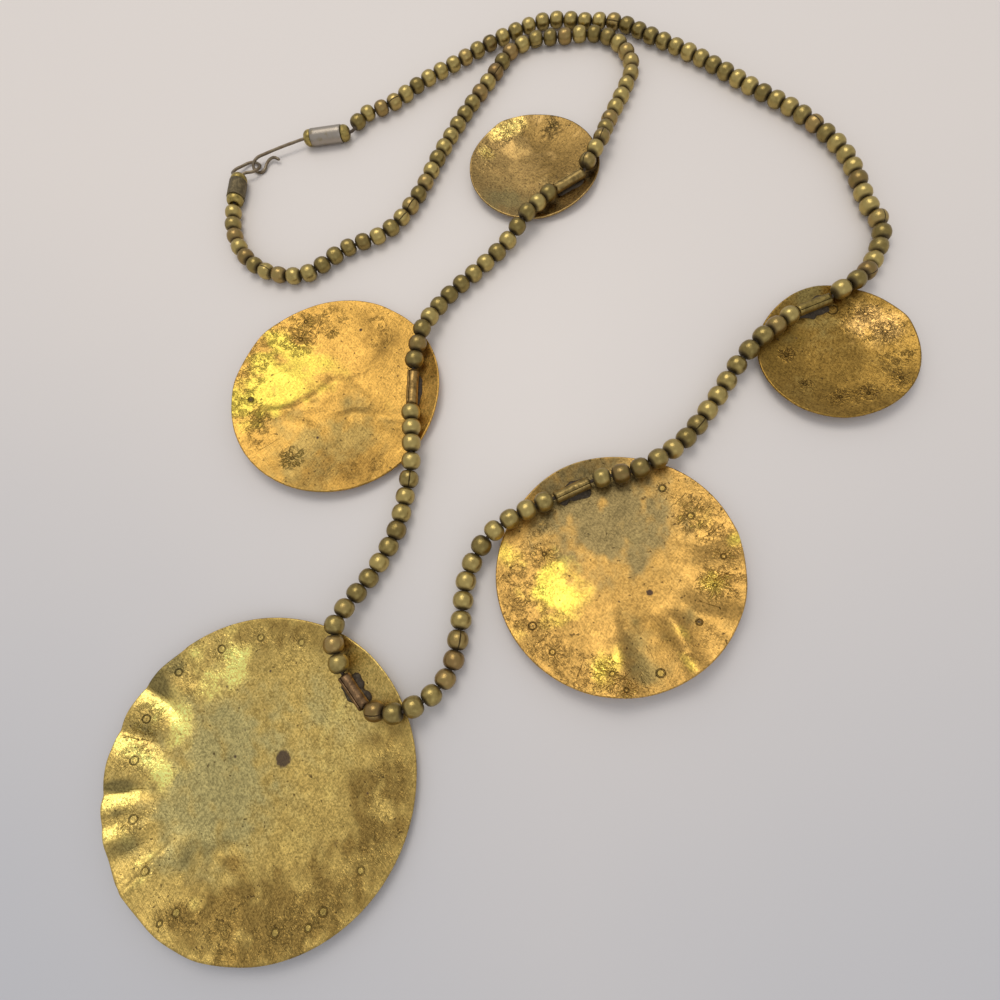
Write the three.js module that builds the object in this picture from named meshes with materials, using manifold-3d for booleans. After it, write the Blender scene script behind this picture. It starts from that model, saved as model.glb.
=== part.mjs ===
// A bib necklace lying on a flat surface: five dished discs of thin brass sheet, each hanging by a soldered tube
// from one string of brass barrel beads, closed by a wire hook and eye. Millimetres, +Z up, the surface at z = 0,
// +X to the wearer's view right, +Y away towards the clasp.
import * as THREE from "three";
import { mergeVertices } from "three/addons/utils/BufferGeometryUtils.js";
import Module from "manifold-3d";

const wasm = await Module();
wasm.setup();

// The pendants' discs, and the beaded string from its first drawn point to its last
const largeDiameter = 86.6;
const mediumDiameter = 68;
const smallDiameter = 45;
const stringLength = 942.3;

// Beads and thread
const beadDiameter = 6;
const beadPitch = 5.45;
const beadFaceDiameter = 3.3;
const threadDiameter = 1.2;
const beadSides = 10;
const drumShare = 0.25;
const steepestStep = 1.3;

// Clearance between pieces that touch
const clearance = 0.3;
const tubeToBead = 0.8;

// Sheet and bails of the pendants
const sheet = 0.9;
const bailDiameter = 3.8;
const bailWall = 0.5;
const solderHeight = 0.3;
const solderWidth = 5;
const solderSink = 0.4;
const bowlPower = 1.8;

// Clasp
const barrelDiameter = 6;
const barrelWaist = 4.8;
const barrelDome = 2.7;
const sleeveDiameter = 6.4;
const sleeveWall = 0.45;
const hookBarrelLength = 17.6;
const eyeBarrelLength = 13.4;
const wireDiameter = 1.1;
const wireSides = 5;
const wireStep = 1.1;
const wireSink = 2.4;

// Each disc's folds are ridges or, with a negative rise, valleys. A fold runs from one place to another, each given
// as degrees round from the bail and a share of the radius. Rise is a share of the far rim's height, width of the
// radius.
const flute = (at, rise, inner = 0.72, width = 0.09) => ({ at, out: inner, toAt: at, toOut: 1.05, rise, width });
const largeFolds = [
  flute(96, -0.16, 0.78),
  flute(108, 0.16),
  flute(121, -0.17, 0.74),
  flute(133, 0.15),
  flute(145, -0.16, 0.76),
  flute(158, 0.14, 0.74),
  flute(172, -0.12, 0.74),
  flute(186, 0.12, 0.68),
  flute(200, -0.1, 0.6, 0.1),
  flute(214, 0.12, 0.56, 0.1),
  flute(228, -0.08, 0.7, 0.12),
  flute(252, 0.06, 0.75, 0.12),
];
const mediumRightFolds = [
  flute(150, 0.16, 0.7, 0.11),
  flute(165, -0.16, 0.55, 0.13),
  { at: 178, out: 0.4, toAt: 181, toOut: 1.05, rise: 0.16, width: 0.1 },
  flute(204, -0.18, 0.62, 0.15),
  flute(226, 0.12, 0.65, 0.1),
  flute(240, -0.1, 0.7, 0.1),
  flute(259, 0.12, 0.72, 0.1),
  flute(98, 0.08, 0.7, 0.14),
];
const mediumLeftFolds = [
  { at: 200, out: 0.7, toAt: 300, toOut: 0.22, rise: 0.16, width: 0.12 },
  { at: 300, out: 0.22, toAt: 333, toOut: 0.76, rise: 0.13, width: 0.1 },
  flute(140, 0.12, 0.6, 0.16),
  flute(175, 0.1, 0.7, 0.14),
  flute(250, -0.08, 0.55, 0.18),
  flute(60, -0.1, 0.5, 0.14),
];
const smallRightFolds = [flute(275, 0.16, 0.6, 0.2), flute(160, -0.1, 0.6, 0.2), flute(215, 0.08, 0.6, 0.16)];
const smallLeftFolds = [flute(158, 0.16, 0.6, 0.18), flute(207, 0.1, 0.6, 0.18), flute(120, -0.08, 0.6, 0.2)];

// The pendants in the order of the string. x, y and heading place the bail and its axis; turn is the way from the
// bail to the disc's centre, in degrees from the heading; flat is the share of the radius of the patch that lies on
// the surface. Shares of the diameter: inset is the bail's distance in from the rim; near and far are the rim's
// heights at the bail and opposite it; lip is how far the strip beyond the bail is bent up. Sectors and bands divide
// the disc into faces, the bands as shares of the way from the flat patch to the rim.
const wideBands = [0.3, 0.55, 0.78, 1];
const smallBands = [0.4, 0.75, 1];
const drawnPendants = [
  {
    name: "pendant_small_right", diameter: smallDiameter, bail: 10.4, x: 87.9, y: 21.2, heading: 200.1, turn: 87,
    inset: 0.142, flat: 0.3, near: 0.027, far: 0.08, lip: 0.033, sectors: 30, bands: smallBands,
    folds: smallRightFolds,
  },
  {
    name: "pendant_medium_right", diameter: mediumDiameter, bail: 10.8, x: 13.8, y: -34.5, heading: 203.7, turn: 92.1,
    inset: 0.109, flat: 0.26, near: 0.021, far: 0.079, lip: 0.024, sectors: 40, bands: wideBands,
    folds: mediumRightFolds,
  },
  {
    name: "pendant_large", diameter: largeDiameter, bail: 10.4, x: -47.3, y: -89.9, heading: 128.1, turn: 93,
    inset: 0.111, flat: 0.3, near: 0.0185, far: 0.055, lip: 0.017, sectors: 50, bands: wideBands, folds: largeFolds,
  },
  {
    name: "pendant_medium_left", diameter: mediumDiameter, bail: 11.6, x: -34.9, y: 2.1, heading: 89.8, turn: 88.7,
    inset: 0.125, flat: 0.14, near: 0.021, far: 0.076, lip: 0.026, sectors: 40, bands: wideBands,
    folds: mediumLeftFolds,
  },
  {
    name: "pendant_small_left", diameter: smallDiameter, bail: 11.2, x: 16.5, y: 77.8, heading: 31.2, turn: 111,
    inset: 0.169, flat: 0.3, near: 0.027, far: 0.084, lip: 0.031, sectors: 30, bands: smallBands,
    folds: smallLeftFolds,
  },
];

// The string's route in plan, from the hook's barrel through the five bails to the eye's barrel: the points of each
// stretch between two bails. The bails and barrels add the ends.
const route = [
  [
    [-59.6, 118.8], [-48.6, 123.4], [-36.3, 133], [-23.4, 140.6], [-10, 148.6], [10.3, 156], [25.3, 153],
    [36.5, 150.4], [48.5, 141.1], [64.9, 127.2], [80.2, 111.2], [94.8, 96.4], [105.8, 78.2], [109.4, 57.2],
    [111.9, 47.2], [103.4, 29.8],
  ],
  [[72.1, 10.8], [64.4, 3.4], [55.4, -9.5], [45.6, -21.5], [35.2, -28.8]],
  [[-4.1, -43.2], [-12, -49.6], [-16.5, -58], [-18.7, -74.6], [-21, -84.5], [-26.6, -92], [-36.5, -96]],
  [[-53.3, -77.9], [-53.2, -71.3], [-49.6, -64.5], [-42.8, -54], [-38.1, -44.4], [-35.9, -34], [-33.9, -21]],
  [[-33.7, 15.4], [-31.4, 24], [-25.5, 34.7], [-14.5, 45.3], [-5.9, 54], [2.3, 64.2]],
  [
    [28, 92.8], [31, 102.6], [37.4, 117], [40.6, 128], [35.8, 140.8], [27.2, 146.2], [16.2, 146.6], [5.6, 147],
    [-3.3, 142.2], [-8.8, 133.1], [-19, 116.3], [-28.7, 97.1], [-37.1, 77.6], [-46.7, 64.8], [-61.5, 58.7],
    [-75.1, 49.7], [-86.1, 50.9], [-95.2, 56.3], [-102.2, 65.9], [-105.2, 76],
  ],
];

// The barrels lie on their sleeves: the place of each one's clasp end and the way to its string end, in degrees. The
// eye's is placed from the hook's, whose wire it holds.
const drawnHook = { x: -81.4, y: 111.1 };
const eyeFromHook = { x: -23.9, y: -14.5 };

// Just outside the hook's barrel the thread turns up to the first bead.
const threadTurn = { x: 1.8, y: 1.5, heading: 85 };

// The wires' routes past the barrels' mouths, x, y, z: the hook's goes over the eye's near leg and under its far
// leg, and its tip turns back. The hook's route and the eye's loop are placed from the clasp end of the hook's barrel,
// and the eye's two legs from that of its own.
const hookRoute = [
  [-4.8, -1.4, 3.2], [-9.6, -2.9, 3.1], [-15, -4.9, 3], [-18, -6.2, 2.9], [-19.5, -7.9, 2.5], [-19.9, -9.3, 1.5],
  [-19, -10.6, 0.75], [-17, -11.3, 0.65], [-15.6, -10.2, 0.8], [-15, -7.9, 1.1], [-13.7, -6.2, 1.5],
  [-12, -5.9, 1.8], [-9.8, -7.1, 1.6],
];
const eyeOut = [[-2.3, 1.5, 2.8], [-3.6, 2.6, 2.4]];
const eyeLoop = [
  [-26.6, -9.8, 2], [-24.6, -8.1, 1.5], [-22.4, -6.4, 1], [-20.7, -6, 0.8], [-18.6, -7.1, 0.9], [-17.3, -9, 1.6],
  [-17.7, -11.4, 2.3],
];
const eyeBack = [[4.3, 1.8, 2.7], [2.1, 1.4, 3]];

const brass = { color: 0x8f7a3a, roughness: 0.38, metalness: 0.9 };
const sheetBrass = { color: 0xb3924a, roughness: 0.35, metalness: 0.9 };
const nickel = { color: 0xb9b4ae, roughness: 0.3, metalness: 0.9 };
const dullBrass = { color: 0x4f4531, roughness: 0.55, metalness: 0.7 };
const ironWire = { color: 0x7a6e5c, roughness: 0.45, metalness: 0.85 };

const rad = THREE.MathUtils.degToRad;
const clamp = THREE.MathUtils.clamp;
const beadRadius = beadDiameter / 2;
const threadRadius = threadDiameter / 2;
const vec = (x, y, z = 0) => new THREE.Vector3(x, y, z);
const ahead = (degrees) => vec(Math.cos(rad(degrees)), Math.sin(rad(degrees)));
const smooth = (points) => new THREE.CatmullRomCurve3(points, false, "centripetal");

// The route is drawn for one string. A longer one lies in a larger loop, and the places in plan spread with it.
const spread = stringLength / smooth(route.flat().map(([x, y]) => vec(x, y))).getLength();
const spreadOut = (drawn) => ({ ...drawn, x: drawn.x * spread, y: drawn.y * spread });
const pendants = drawnPendants.map(spreadOut);
const hookBarrel = { ...spreadOut(drawnHook), heading: 1.6, length: hookBarrelLength };
const eyeBarrel = {
  x: hookBarrel.x + eyeFromHook.x,
  y: hookBarrel.y + eyeFromHook.y,
  heading: 268.7,
  length: eyeBarrelLength,
};

// A mesh of one piece.
function piece(name, geometry, finish) {
  geometry.computeVertexNormals();
  const mesh = new THREE.Mesh(geometry, new THREE.MeshStandardMaterial(finish));
  mesh.name = name;
  return mesh;
}

// A closed geometry from flat lists of coordinates and corner numbers.
function closed(coordinates, corners) {
  const geometry = new THREE.BufferGeometry();
  geometry.setAttribute("position", new THREE.Float32BufferAttribute(coordinates, 3));
  geometry.setIndex(corners);
  return geometry;
}

// A manifold solid of a geometry, and the geometry of a manifold solid.
function toSolid(geometry) {
  const bare = geometry.clone();
  bare.deleteAttribute("normal");
  bare.deleteAttribute("uv");
  const merged = mergeVertices(bare, 1e-4);
  const mesh = new wasm.Mesh({
    numProp: 3,
    vertProperties: new Float32Array(merged.attributes.position.array),
    triVerts: new Uint32Array(merged.index.array),
  });
  return new wasm.Manifold(mesh);
}

function toGeometry(solid) {
  const mesh = solid.getMesh();
  return closed(Array.from(mesh.vertProperties), Array.from(mesh.triVerts));
}

// A solid swept through rings, each with a centre, a direction of travel and a radius.
function swept(rings, sides) {
  const coordinates = [];
  const corners = [];
  const up = vec(0, 0, 1);
  for (const { centre, travel, radius } of rings) {
    const side = travel.clone().cross(up).normalize();
    const rise = side.clone().cross(travel).normalize();
    for (let k = 0; k < sides; k++) {
      const angle = (k / sides + 0.25) * 2 * Math.PI;
      const point = centre.clone();
      point.addScaledVector(side, radius * Math.cos(angle)).addScaledVector(rise, radius * Math.sin(angle));
      coordinates.push(...point.toArray());
    }
  }
  const at = (ring, k) => ring * sides + (k % sides);
  const last = rings.length - 1;
  for (let ring = 0; ring < last; ring++) {
    for (let k = 0; k < sides; k++) {
      corners.push(at(ring, k), at(ring + 1, k), at(ring, k + 1));
      corners.push(at(ring, k + 1), at(ring + 1, k), at(ring + 1, k + 1));
    }
  }
  for (let k = 1; k < sides - 1; k++) {
    corners.push(at(0, 0), at(0, k), at(0, k + 1));
    corners.push(at(last, 0), at(last, k + 1), at(last, k));
  }
  return closed(coordinates, corners);
}

// A disc's underside above the surface, x towards the bail from the disc's centre and y to its left.
function underside(pendant, x, y) {
  const radius = pendant.diameter / 2;
  const flat = pendant.flat * radius;
  const out = Math.hypot(x, y);
  const share = clamp((out - flat) / (radius - flat), 0, 1);
  const facing = out > 0 ? x / out : 0;
  const rim = (pendant.near * (1 + facing)) / 2 + (pendant.far * (1 - facing)) / 2;
  const beyond = Math.max(0, x - bailReach(pendant)) / (radius - bailReach(pendant));
  let height = rim * share ** bowlPower + pendant.lip * beyond ** 2;
  for (const fold of pendant.folds) {
    height += Math.min(1, 4 * share) * foldRise(fold, radius, x, y) * pendant.far;
  }
  return Math.max(0, height * pendant.diameter);
}

// The bail's distance from the disc's centre.
function bailReach(pendant) {
  return (0.5 - pendant.inset) * pendant.diameter;
}

// A fold's share of its rise at a place: a bell across the line that the fold follows.
function foldRise(fold, radius, x, y) {
  const start = ahead(fold.at).multiplyScalar(fold.out * radius);
  const end = ahead(fold.toAt).multiplyScalar(fold.toOut * radius);
  const near = new THREE.Line3(start, end).closestPointToPoint(vec(x, y), true, vec(0, 0));
  return fold.rise * Math.exp(-((near.distanceTo(vec(x, y)) / (fold.width * radius)) ** 2));
}

// The dished disc about its own centre: rings of points on the underside and, a sheet above them, the upper face.
function discGeometry(pendant) {
  const radius = pendant.diameter / 2;
  const flat = pendant.flat * radius;
  const { sectors, bands } = pendant;
  const ringRadii = [flat, ...bands.map((share) => flat + share * (radius - flat))];
  const coordinates = [0, 0, 0, 0, 0, sheet];
  const corners = [];
  for (const ringRadius of ringRadii) {
    for (let k = 0; k < sectors; k++) {
      const place = ahead((360 * k) / sectors).multiplyScalar(ringRadius);
      const height = underside(pendant, place.x, place.y);
      coordinates.push(place.x, place.y, height, place.x, place.y, height + sheet);
    }
  }
  const low = (ring, k) => 2 + 2 * (ring * sectors + (k % sectors));
  const high = (ring, k) => low(ring, k) + 1;
  const last = ringRadii.length - 1;
  for (let k = 0; k < sectors; k++) {
    corners.push(0, low(0, k + 1), low(0, k));
    corners.push(1, high(0, k), high(0, k + 1));
    for (let ring = 0; ring < last; ring++) {
      corners.push(low(ring, k), low(ring, k + 1), low(ring + 1, k));
      corners.push(low(ring, k + 1), low(ring + 1, k + 1), low(ring + 1, k));
      corners.push(high(ring, k), high(ring + 1, k), high(ring, k + 1));
      corners.push(high(ring, k + 1), high(ring + 1, k), high(ring + 1, k + 1));
    }
    corners.push(low(last, k), low(last, k + 1), high(last, k));
    corners.push(low(last, k + 1), high(last, k + 1), high(last, k));
  }
  return closed(coordinates, corners);
}

// The height of a bail's axis.
function bailHeight(pendant) {
  return underside(pendant, bailReach(pendant), 0) + sheet + solderHeight + bailDiameter / 2;
}

// A rod of two rings along x.
function rod(length, diameter, height) {
  const travel = vec(1, 0, 0);
  const ring = (x) => ({ centre: vec(x, 0, height), travel, radius: diameter / 2 });
  return swept([ring(-length / 2), ring(length / 2)], beadSides);
}

// The solder under the bail: a low bar whose foot is sunk in the sheet.
function solderGeometry(pendant) {
  const axis = bailHeight(pendant);
  const foot = axis - bailDiameter / 2 - solderHeight - solderSink;
  const section = new THREE.Shape();
  section.moveTo(-solderWidth / 2, foot);
  section.lineTo(solderWidth / 2, foot);
  section.lineTo(bailDiameter / 2.4, axis - bailDiameter / 5);
  section.lineTo(-bailDiameter / 2.4, axis - bailDiameter / 5);
  section.closePath();
  const depth = pendant.bail - 4 * clearance;
  const geometry = new THREE.ExtrudeGeometry(section, { depth, bevelEnabled: false });
  geometry.translate(0, 0, -depth / 2);
  geometry.rotateX(Math.PI / 2);
  return geometry.rotateZ(Math.PI / 2);
}

// One pendant about its bail, whose axis lies along x.
function pendantPiece(pendant) {
  const axis = bailHeight(pendant);
  const reach = bailReach(pendant);
  const disc = discGeometry(pendant);
  disc.rotateZ(rad(pendant.turn + 180));
  disc.translate(reach * Math.cos(rad(pendant.turn)), reach * Math.sin(rad(pendant.turn)), 0);
  const bore = toSolid(rod(pendant.bail + 2, bailDiameter - 2 * bailWall, axis));
  const bail = toSolid(rod(pendant.bail, bailDiameter, axis));
  const solder = toSolid(solderGeometry(pendant));
  const solid = toSolid(disc).add(bail).add(solder).subtract(bore);
  const mesh = piece(pendant.name, toGeometry(solid), sheetBrass);
  mesh.position.set(pendant.x, pendant.y, 0);
  mesh.rotation.z = rad(pendant.heading);
  return mesh;
}

// The upper face at a place of the necklace's plan, or -1 off the disc.
function faceHeight(pendant, x, y) {
  const centre = ahead(pendant.heading + pendant.turn).multiplyScalar(bailReach(pendant));
  const local = vec(x - pendant.x - centre.x, y - pendant.y - centre.y);
  local.applyAxisAngle(vec(0, 0, 1), -rad(pendant.heading + pendant.turn + 180));
  const inside = Math.hypot(local.x, local.y) <= pendant.diameter / 2;
  return inside ? underside(pendant, local.x, local.y) + sheet : -1;
}

// The height of a bead's centre where it lies: just over the surface, or clear of every disc's face under it, felt at
// places round the bead, a little further out than its corners. A flat face of the dish can stand a facet's rise
// above the curve that it follows.
const feelerShares = [0, 0.3, 0.55, 0.75, 0.9, 0.99];
const feelerTurn = 20;
const cornerReach = 0.4;
const facetRise = 0.2;
const lift = 0.05;
function rideHeight(x, y) {
  const reach = beadRadius + clearance + facetRise;
  let height = beadRadius + lift;
  for (const pendant of pendants) {
    if (Math.hypot(x - pendant.x, y - pendant.y) > pendant.diameter + reach) continue;
    for (const share of feelerShares) {
      for (let way = 0; way < 360; way += feelerTurn) {
        const feel = ahead(way).multiplyScalar(share * (reach + cornerReach));
        const face = faceHeight(pendant, x + feel.x, y + feel.y);
        if (face >= 0) height = Math.max(height, face + reach * Math.sqrt(1 - share * share));
      }
    }
  }
  return height;
}

// A stop is where the bare thread shows or is hidden: its rings' centres with the way of travel there.
function bailStop(pendant) {
  const travel = ahead(pendant.heading);
  const middle = vec(pendant.x, pendant.y, bailHeight(pendant));
  const along = (distance) => ({ centre: middle.clone().addScaledVector(travel, distance), travel });
  return { start: along(-pendant.bail / 2), end: along(pendant.bail / 2), along };
}

// A barrel's two mouths, with the way from its clasp end to its string end.
function barrelEnds(barrel) {
  const travel = ahead(barrel.heading);
  const clasp = vec(barrel.x, barrel.y, sleeveDiameter / 2);
  return { travel, clasp, string: clasp.clone().addScaledVector(travel, barrel.length) };
}

// The bead centres of one stretch, evenly spaced between its two ends, no step steeper than a string allows.
function beadCentres(start, points, end) {
  const drawn = points.map(([x, y]) => vec(x, y).multiplyScalar(spread));
  const plan = [start.clone().setZ(0), ...drawn, end.clone().setZ(0)];
  const curve = smooth(plan);
  curve.arcLengthDivisions = 40 * plan.length;
  const length = curve.getLength() - 2 * tubeToBead;
  const count = Math.round(length / beadPitch);
  const pitch = length / count;
  const centres = [];
  for (let k = 0; k < count; k++) {
    const centre = curve.getPointAt((tubeToBead + (k + 0.5) * pitch) / curve.getLength());
    centres.push(centre.setZ(rideHeight(centre.x, centre.y)));
  }
  for (let k = 1; k < count; k++) {
    centres[k].z = Math.max(centres[k].z, centres[k - 1].z - steepestStep);
  }
  for (let k = count - 2; k >= 0; k--) {
    centres[k].z = Math.max(centres[k].z, centres[k + 1].z - steepestStep);
  }
  for (let k = 1; k < count - 1; k++) {
    const slope = Math.atan2(Math.abs(centres[k + 1].z - centres[k - 1].z), 2 * pitch);
    const foot = beadRadius * Math.cos(slope) + drumShare * pitch * Math.sin(slope) + lift;
    centres[k].z = Math.max(centres[k].z, foot);
  }
  return { centres, pitch };
}

// The rings of one stretch: each bead is a drum with sloped shoulders, and the thread shows only at its two ends.
function stretchRings({ centres, pitch }) {
  const rings = [];
  const last = centres.length - 1;
  const axes = centres.map((centre, k) => {
    const before = centres[Math.max(0, k - 1)];
    const after = centres[Math.min(last, k + 1)];
    return after.clone().sub(before).normalize();
  });
  const ring = (k, share, radius) => {
    const centre = centres[k].clone().addScaledVector(axes[k], share * pitch);
    rings.push({ centre, travel: axes[k], radius });
  };
  ring(0, -0.5, threadRadius);
  for (let k = 0; k <= last; k++) {
    ring(k, -drumShare, beadRadius);
    ring(k, drumShare, beadRadius);
    if (k === last) break;
    const centre = centres[k].clone().lerp(centres[k + 1], 0.5);
    const travel = axes[k].clone().add(axes[k + 1]).normalize();
    rings.push({ centre, travel, radius: beadFaceDiameter / 2 });
  }
  ring(last, 0.5, threadRadius);
  return rings;
}

// One half of the string: thread through each stop in turn, with a stretch of beads between two stops.
function stringPiece(name, stops, stretches) {
  const rings = [];
  stops.forEach((stop, k) => {
    rings.push(...stop.map((ring) => ({ ...ring, radius: threadRadius })));
    if (k === stretches.length) return;
    const start = stop[stop.length - 1].centre;
    const end = stops[k + 1][0].centre;
    rings.push(...stretchRings(beadCentres(start, stretches[k], end)));
  });
  return piece(name, swept(rings, beadSides), brass);
}

// The thread's way out of the hook's barrel and into the eye's.
function hookStop() {
  const { travel, string } = barrelEnds(hookBarrel);
  const inner = { centre: string.clone().addScaledVector(travel, -wireSink), travel };
  const outside = string.clone().add(vec(threadTurn.x, threadTurn.y));
  return [inner, { centre: string, travel }, { centre: outside, travel: ahead(threadTurn.heading) }];
}

function eyeStop() {
  const { travel, string } = barrelEnds(eyeBarrel);
  const back = travel.clone().negate();
  const inner = { centre: string.clone().addScaledVector(back, wireSink), travel: back };
  return [{ centre: string, travel: back }, inner];
}

// The two halves meet, face to face, in the middle of the large pendant's bail.
function stringPieces() {
  const [smallRight, mediumRight, large, mediumLeft, smallLeft] = pendants.map(bailStop);
  const through = ({ start, end }) => [start, end];
  const meetRight = [large.start, large.along(-clearance / 2)];
  const meetLeft = [large.along(clearance / 2), large.end];
  const right = [hookStop(), through(smallRight), through(mediumRight), meetRight];
  const left = [meetLeft, through(mediumLeft), through(smallLeft), eyeStop()];
  return [
    stringPiece("bead_string_right", right, route.slice(0, 3)),
    stringPiece("bead_string_left", left, route.slice(3)),
  ];
}

// A barrel or sleeve turned about x, from a profile of [radius, along] points, laid where the barrel lies.
function turned(name, profile, barrel, finish) {
  const points = profile.map(([radius, along]) => new THREE.Vector2(radius, along));
  const geometry = new THREE.LatheGeometry([...points, points[0]], beadSides);
  geometry.rotateZ(-Math.PI / 2);
  const solid = toGeometry(toSolid(geometry));
  const mesh = piece(name, solid, finish);
  mesh.position.set(barrel.x, barrel.y, sleeveDiameter / 2);
  mesh.rotation.z = rad(barrel.heading);
  return mesh;
}

// The brass core: a spool with domed ends and a waist that the sleeve lies in.
function barrelPiece(name, barrel, boreRadius) {
  const radius = barrelDiameter / 2;
  const waist = barrelWaist / 2;
  const dome = [
    [boreRadius + 0.4, 0],
    [0.86 * radius, 0.28 * barrelDome],
    [radius, 0.72 * barrelDome],
    [radius, barrelDome],
    [waist, barrelDome],
  ];
  const mirrored = dome.map(([r, along]) => [r, barrel.length - along]).reverse();
  const profile = [[boreRadius, 0], ...dome, ...mirrored, [boreRadius, barrel.length]];
  return turned(name, profile, barrel, brass);
}

function sleevePiece(name, barrel, finish) {
  const outer = sleeveDiameter / 2;
  const inner = outer - sleeveWall;
  const start = barrelDome + clearance;
  const end = barrel.length - start;
  return turned(name, [[inner, start], [outer, start], [outer, end], [inner, end]], barrel, finish);
}

// A wire along points, in even steps.
function wirePiece(name, points) {
  const curve = smooth(points);
  const steps = Math.ceil(curve.getLength() / wireStep);
  const rings = [];
  for (let k = 0; k <= steps; k++) {
    rings.push({
      centre: curve.getPointAt(k / steps),
      travel: curve.getTangentAt(k / steps),
      radius: wireDiameter / 2,
    });
  }
  return piece(name, swept(rings, wireSides), ironWire);
}

const placedFrom = (barrel) => (point) => vec(...point).add(vec(barrel.x, barrel.y));

// The hook's straight end sits in its barrel's bore.
function hookPiece() {
  const { clasp, travel } = barrelEnds(hookBarrel);
  const sunk = clasp.clone().addScaledVector(travel, wireSink);
  return wirePiece("hook", [sunk, clasp, ...hookRoute.map(placedFrom(hookBarrel))]);
}

// The eye's two legs lie side by side in its barrel's bore.
const legOffset = (wireDiameter + clearance) / 2;
function eyePiece() {
  const { clasp, travel } = barrelEnds(eyeBarrel);
  const side = vec(0, 0, 1).cross(travel);
  const leg = (along, across) => {
    return clasp.clone().addScaledVector(travel, along).addScaledVector(side, across * legOffset);
  };
  const out = eyeOut.map(placedFrom(eyeBarrel));
  const loop = eyeLoop.map(placedFrom(hookBarrel));
  const back = eyeBack.map(placedFrom(eyeBarrel));
  const ends = (across) => [leg(wireSink, across), leg(-clearance, across)];
  return wirePiece("eye", [...ends(-1), ...out, ...loop, ...back, ...ends(1).reverse()]);
}

const necklace = new THREE.Group();
necklace.add(
  ...pendants.map(pendantPiece),
  ...stringPieces(),
  barrelPiece("hook_barrel", hookBarrel, threadRadius + clearance),
  sleevePiece("hook_sleeve", hookBarrel, nickel),
  hookPiece(),
  barrelPiece("eye_barrel", eyeBarrel, legOffset + wireDiameter / 2 + clearance),
  sleevePiece("eye_sleeve", eyeBarrel, dullBrass),
  eyePiece(),
);

// The origin is the middle of the necklace's plan, on the surface that it lies on.
necklace.updateMatrixWorld(true);
const middle = new THREE.Box3().setFromObject(necklace, true).getCenter(vec(0, 0));
necklace.position.set(-middle.x, -middle.y, 0);

export default necklace;
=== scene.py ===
import bpy
import numpy as np
from mathutils import Matrix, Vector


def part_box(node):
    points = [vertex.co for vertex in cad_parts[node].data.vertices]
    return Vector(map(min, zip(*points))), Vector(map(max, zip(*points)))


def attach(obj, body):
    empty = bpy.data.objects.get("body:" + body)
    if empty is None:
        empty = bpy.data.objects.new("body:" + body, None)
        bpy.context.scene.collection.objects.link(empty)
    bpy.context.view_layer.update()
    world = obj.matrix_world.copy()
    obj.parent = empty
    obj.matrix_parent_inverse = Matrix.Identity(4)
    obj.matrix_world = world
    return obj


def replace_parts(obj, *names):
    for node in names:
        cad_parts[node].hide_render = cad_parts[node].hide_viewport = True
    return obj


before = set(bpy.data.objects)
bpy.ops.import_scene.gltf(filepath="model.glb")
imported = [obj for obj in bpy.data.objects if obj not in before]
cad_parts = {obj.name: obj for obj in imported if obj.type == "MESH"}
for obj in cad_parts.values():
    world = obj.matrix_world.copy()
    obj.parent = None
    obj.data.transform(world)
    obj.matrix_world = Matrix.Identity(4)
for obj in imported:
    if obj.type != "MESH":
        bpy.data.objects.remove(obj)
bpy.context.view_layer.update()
scene = bpy.context.scene
mm = 0.001


# Shader maths

class Flow:
    # One socket of a material. Arithmetic on flows adds Math nodes, and node() adds any other node.
    def __init__(self, tree, socket=None):
        self.tree = tree
        self.socket = socket

    # A node of this kind: its settings are set first, then each input gets its value or its link.
    def node(self, kind, settings, values, output=0):
        made = self.tree.nodes.new(kind)
        for name, value in settings.items():
            setattr(made, name, value)
        for name, value in values.items():
            if isinstance(value, Flow):
                self.tree.links.new(value.socket, made.inputs[name])
            else:
                made.inputs[name].default_value = value
        return Flow(self.tree, made.outputs[output])

    def math(self, operation, *values):
        return self.node("ShaderNodeMath", {"operation": operation}, dict(enumerate(values)))

    def __add__(self, other):
        return self.math("ADD", self, other)

    def __radd__(self, other):
        return self.math("ADD", other, self)

    def __sub__(self, other):
        return self.math("SUBTRACT", self, other)

    def __rsub__(self, other):
        return self.math("SUBTRACT", other, self)

    def __mul__(self, other):
        return self.math("MULTIPLY", self, other)

    def __rmul__(self, other):
        return self.math("MULTIPLY", other, self)

    def __pow__(self, other):
        return self.math("POWER", self, other)

    def __abs__(self):
        return self.math("ABSOLUTE", self)


# 0 below low, 1 above high, with a smooth rise between.
def rise(value, low, high):
    values = {"Value": value, "From Min": low, "From Max": high}
    return value.node("ShaderNodeMapRange", {"interpolation_type": "SMOOTHSTEP"}, values)


def blendColours(share, first, second):
    values = {0: share, 6: asColour(first), 7: asColour(second)}
    return share.node("ShaderNodeMix", {"data_type": "RGBA"}, values, 2)


def asColour(colour):
    return colour if isinstance(colour, Flow) else (*colour, 1)


def scaled(colour, factor):
    return colour.node("ShaderNodeVectorMath", {"operation": "SCALE"}, {0: colour, "Scale": factor})


# Noise at a grain size in millimetres, on a place in millimetres.
def grain(place, size, detail=3.0, roughness=0.55, distortion=0.0):
    values = {"Vector": place, "Scale": 1 / size, "Detail": detail}
    values.update({"Roughness": roughness, "Distortion": distortion})
    return place.node("ShaderNodeTexNoise", {}, values)


# Narrow creases where the noise crosses its middle: 1 on a crease, 0 away from it.
def creases(place, size, width, detail=2.0, distortion=0.8):
    return 1 - rise(abs(grain(place, size, detail, 0.55, distortion) - 0.5), 0.0, width)


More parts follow.
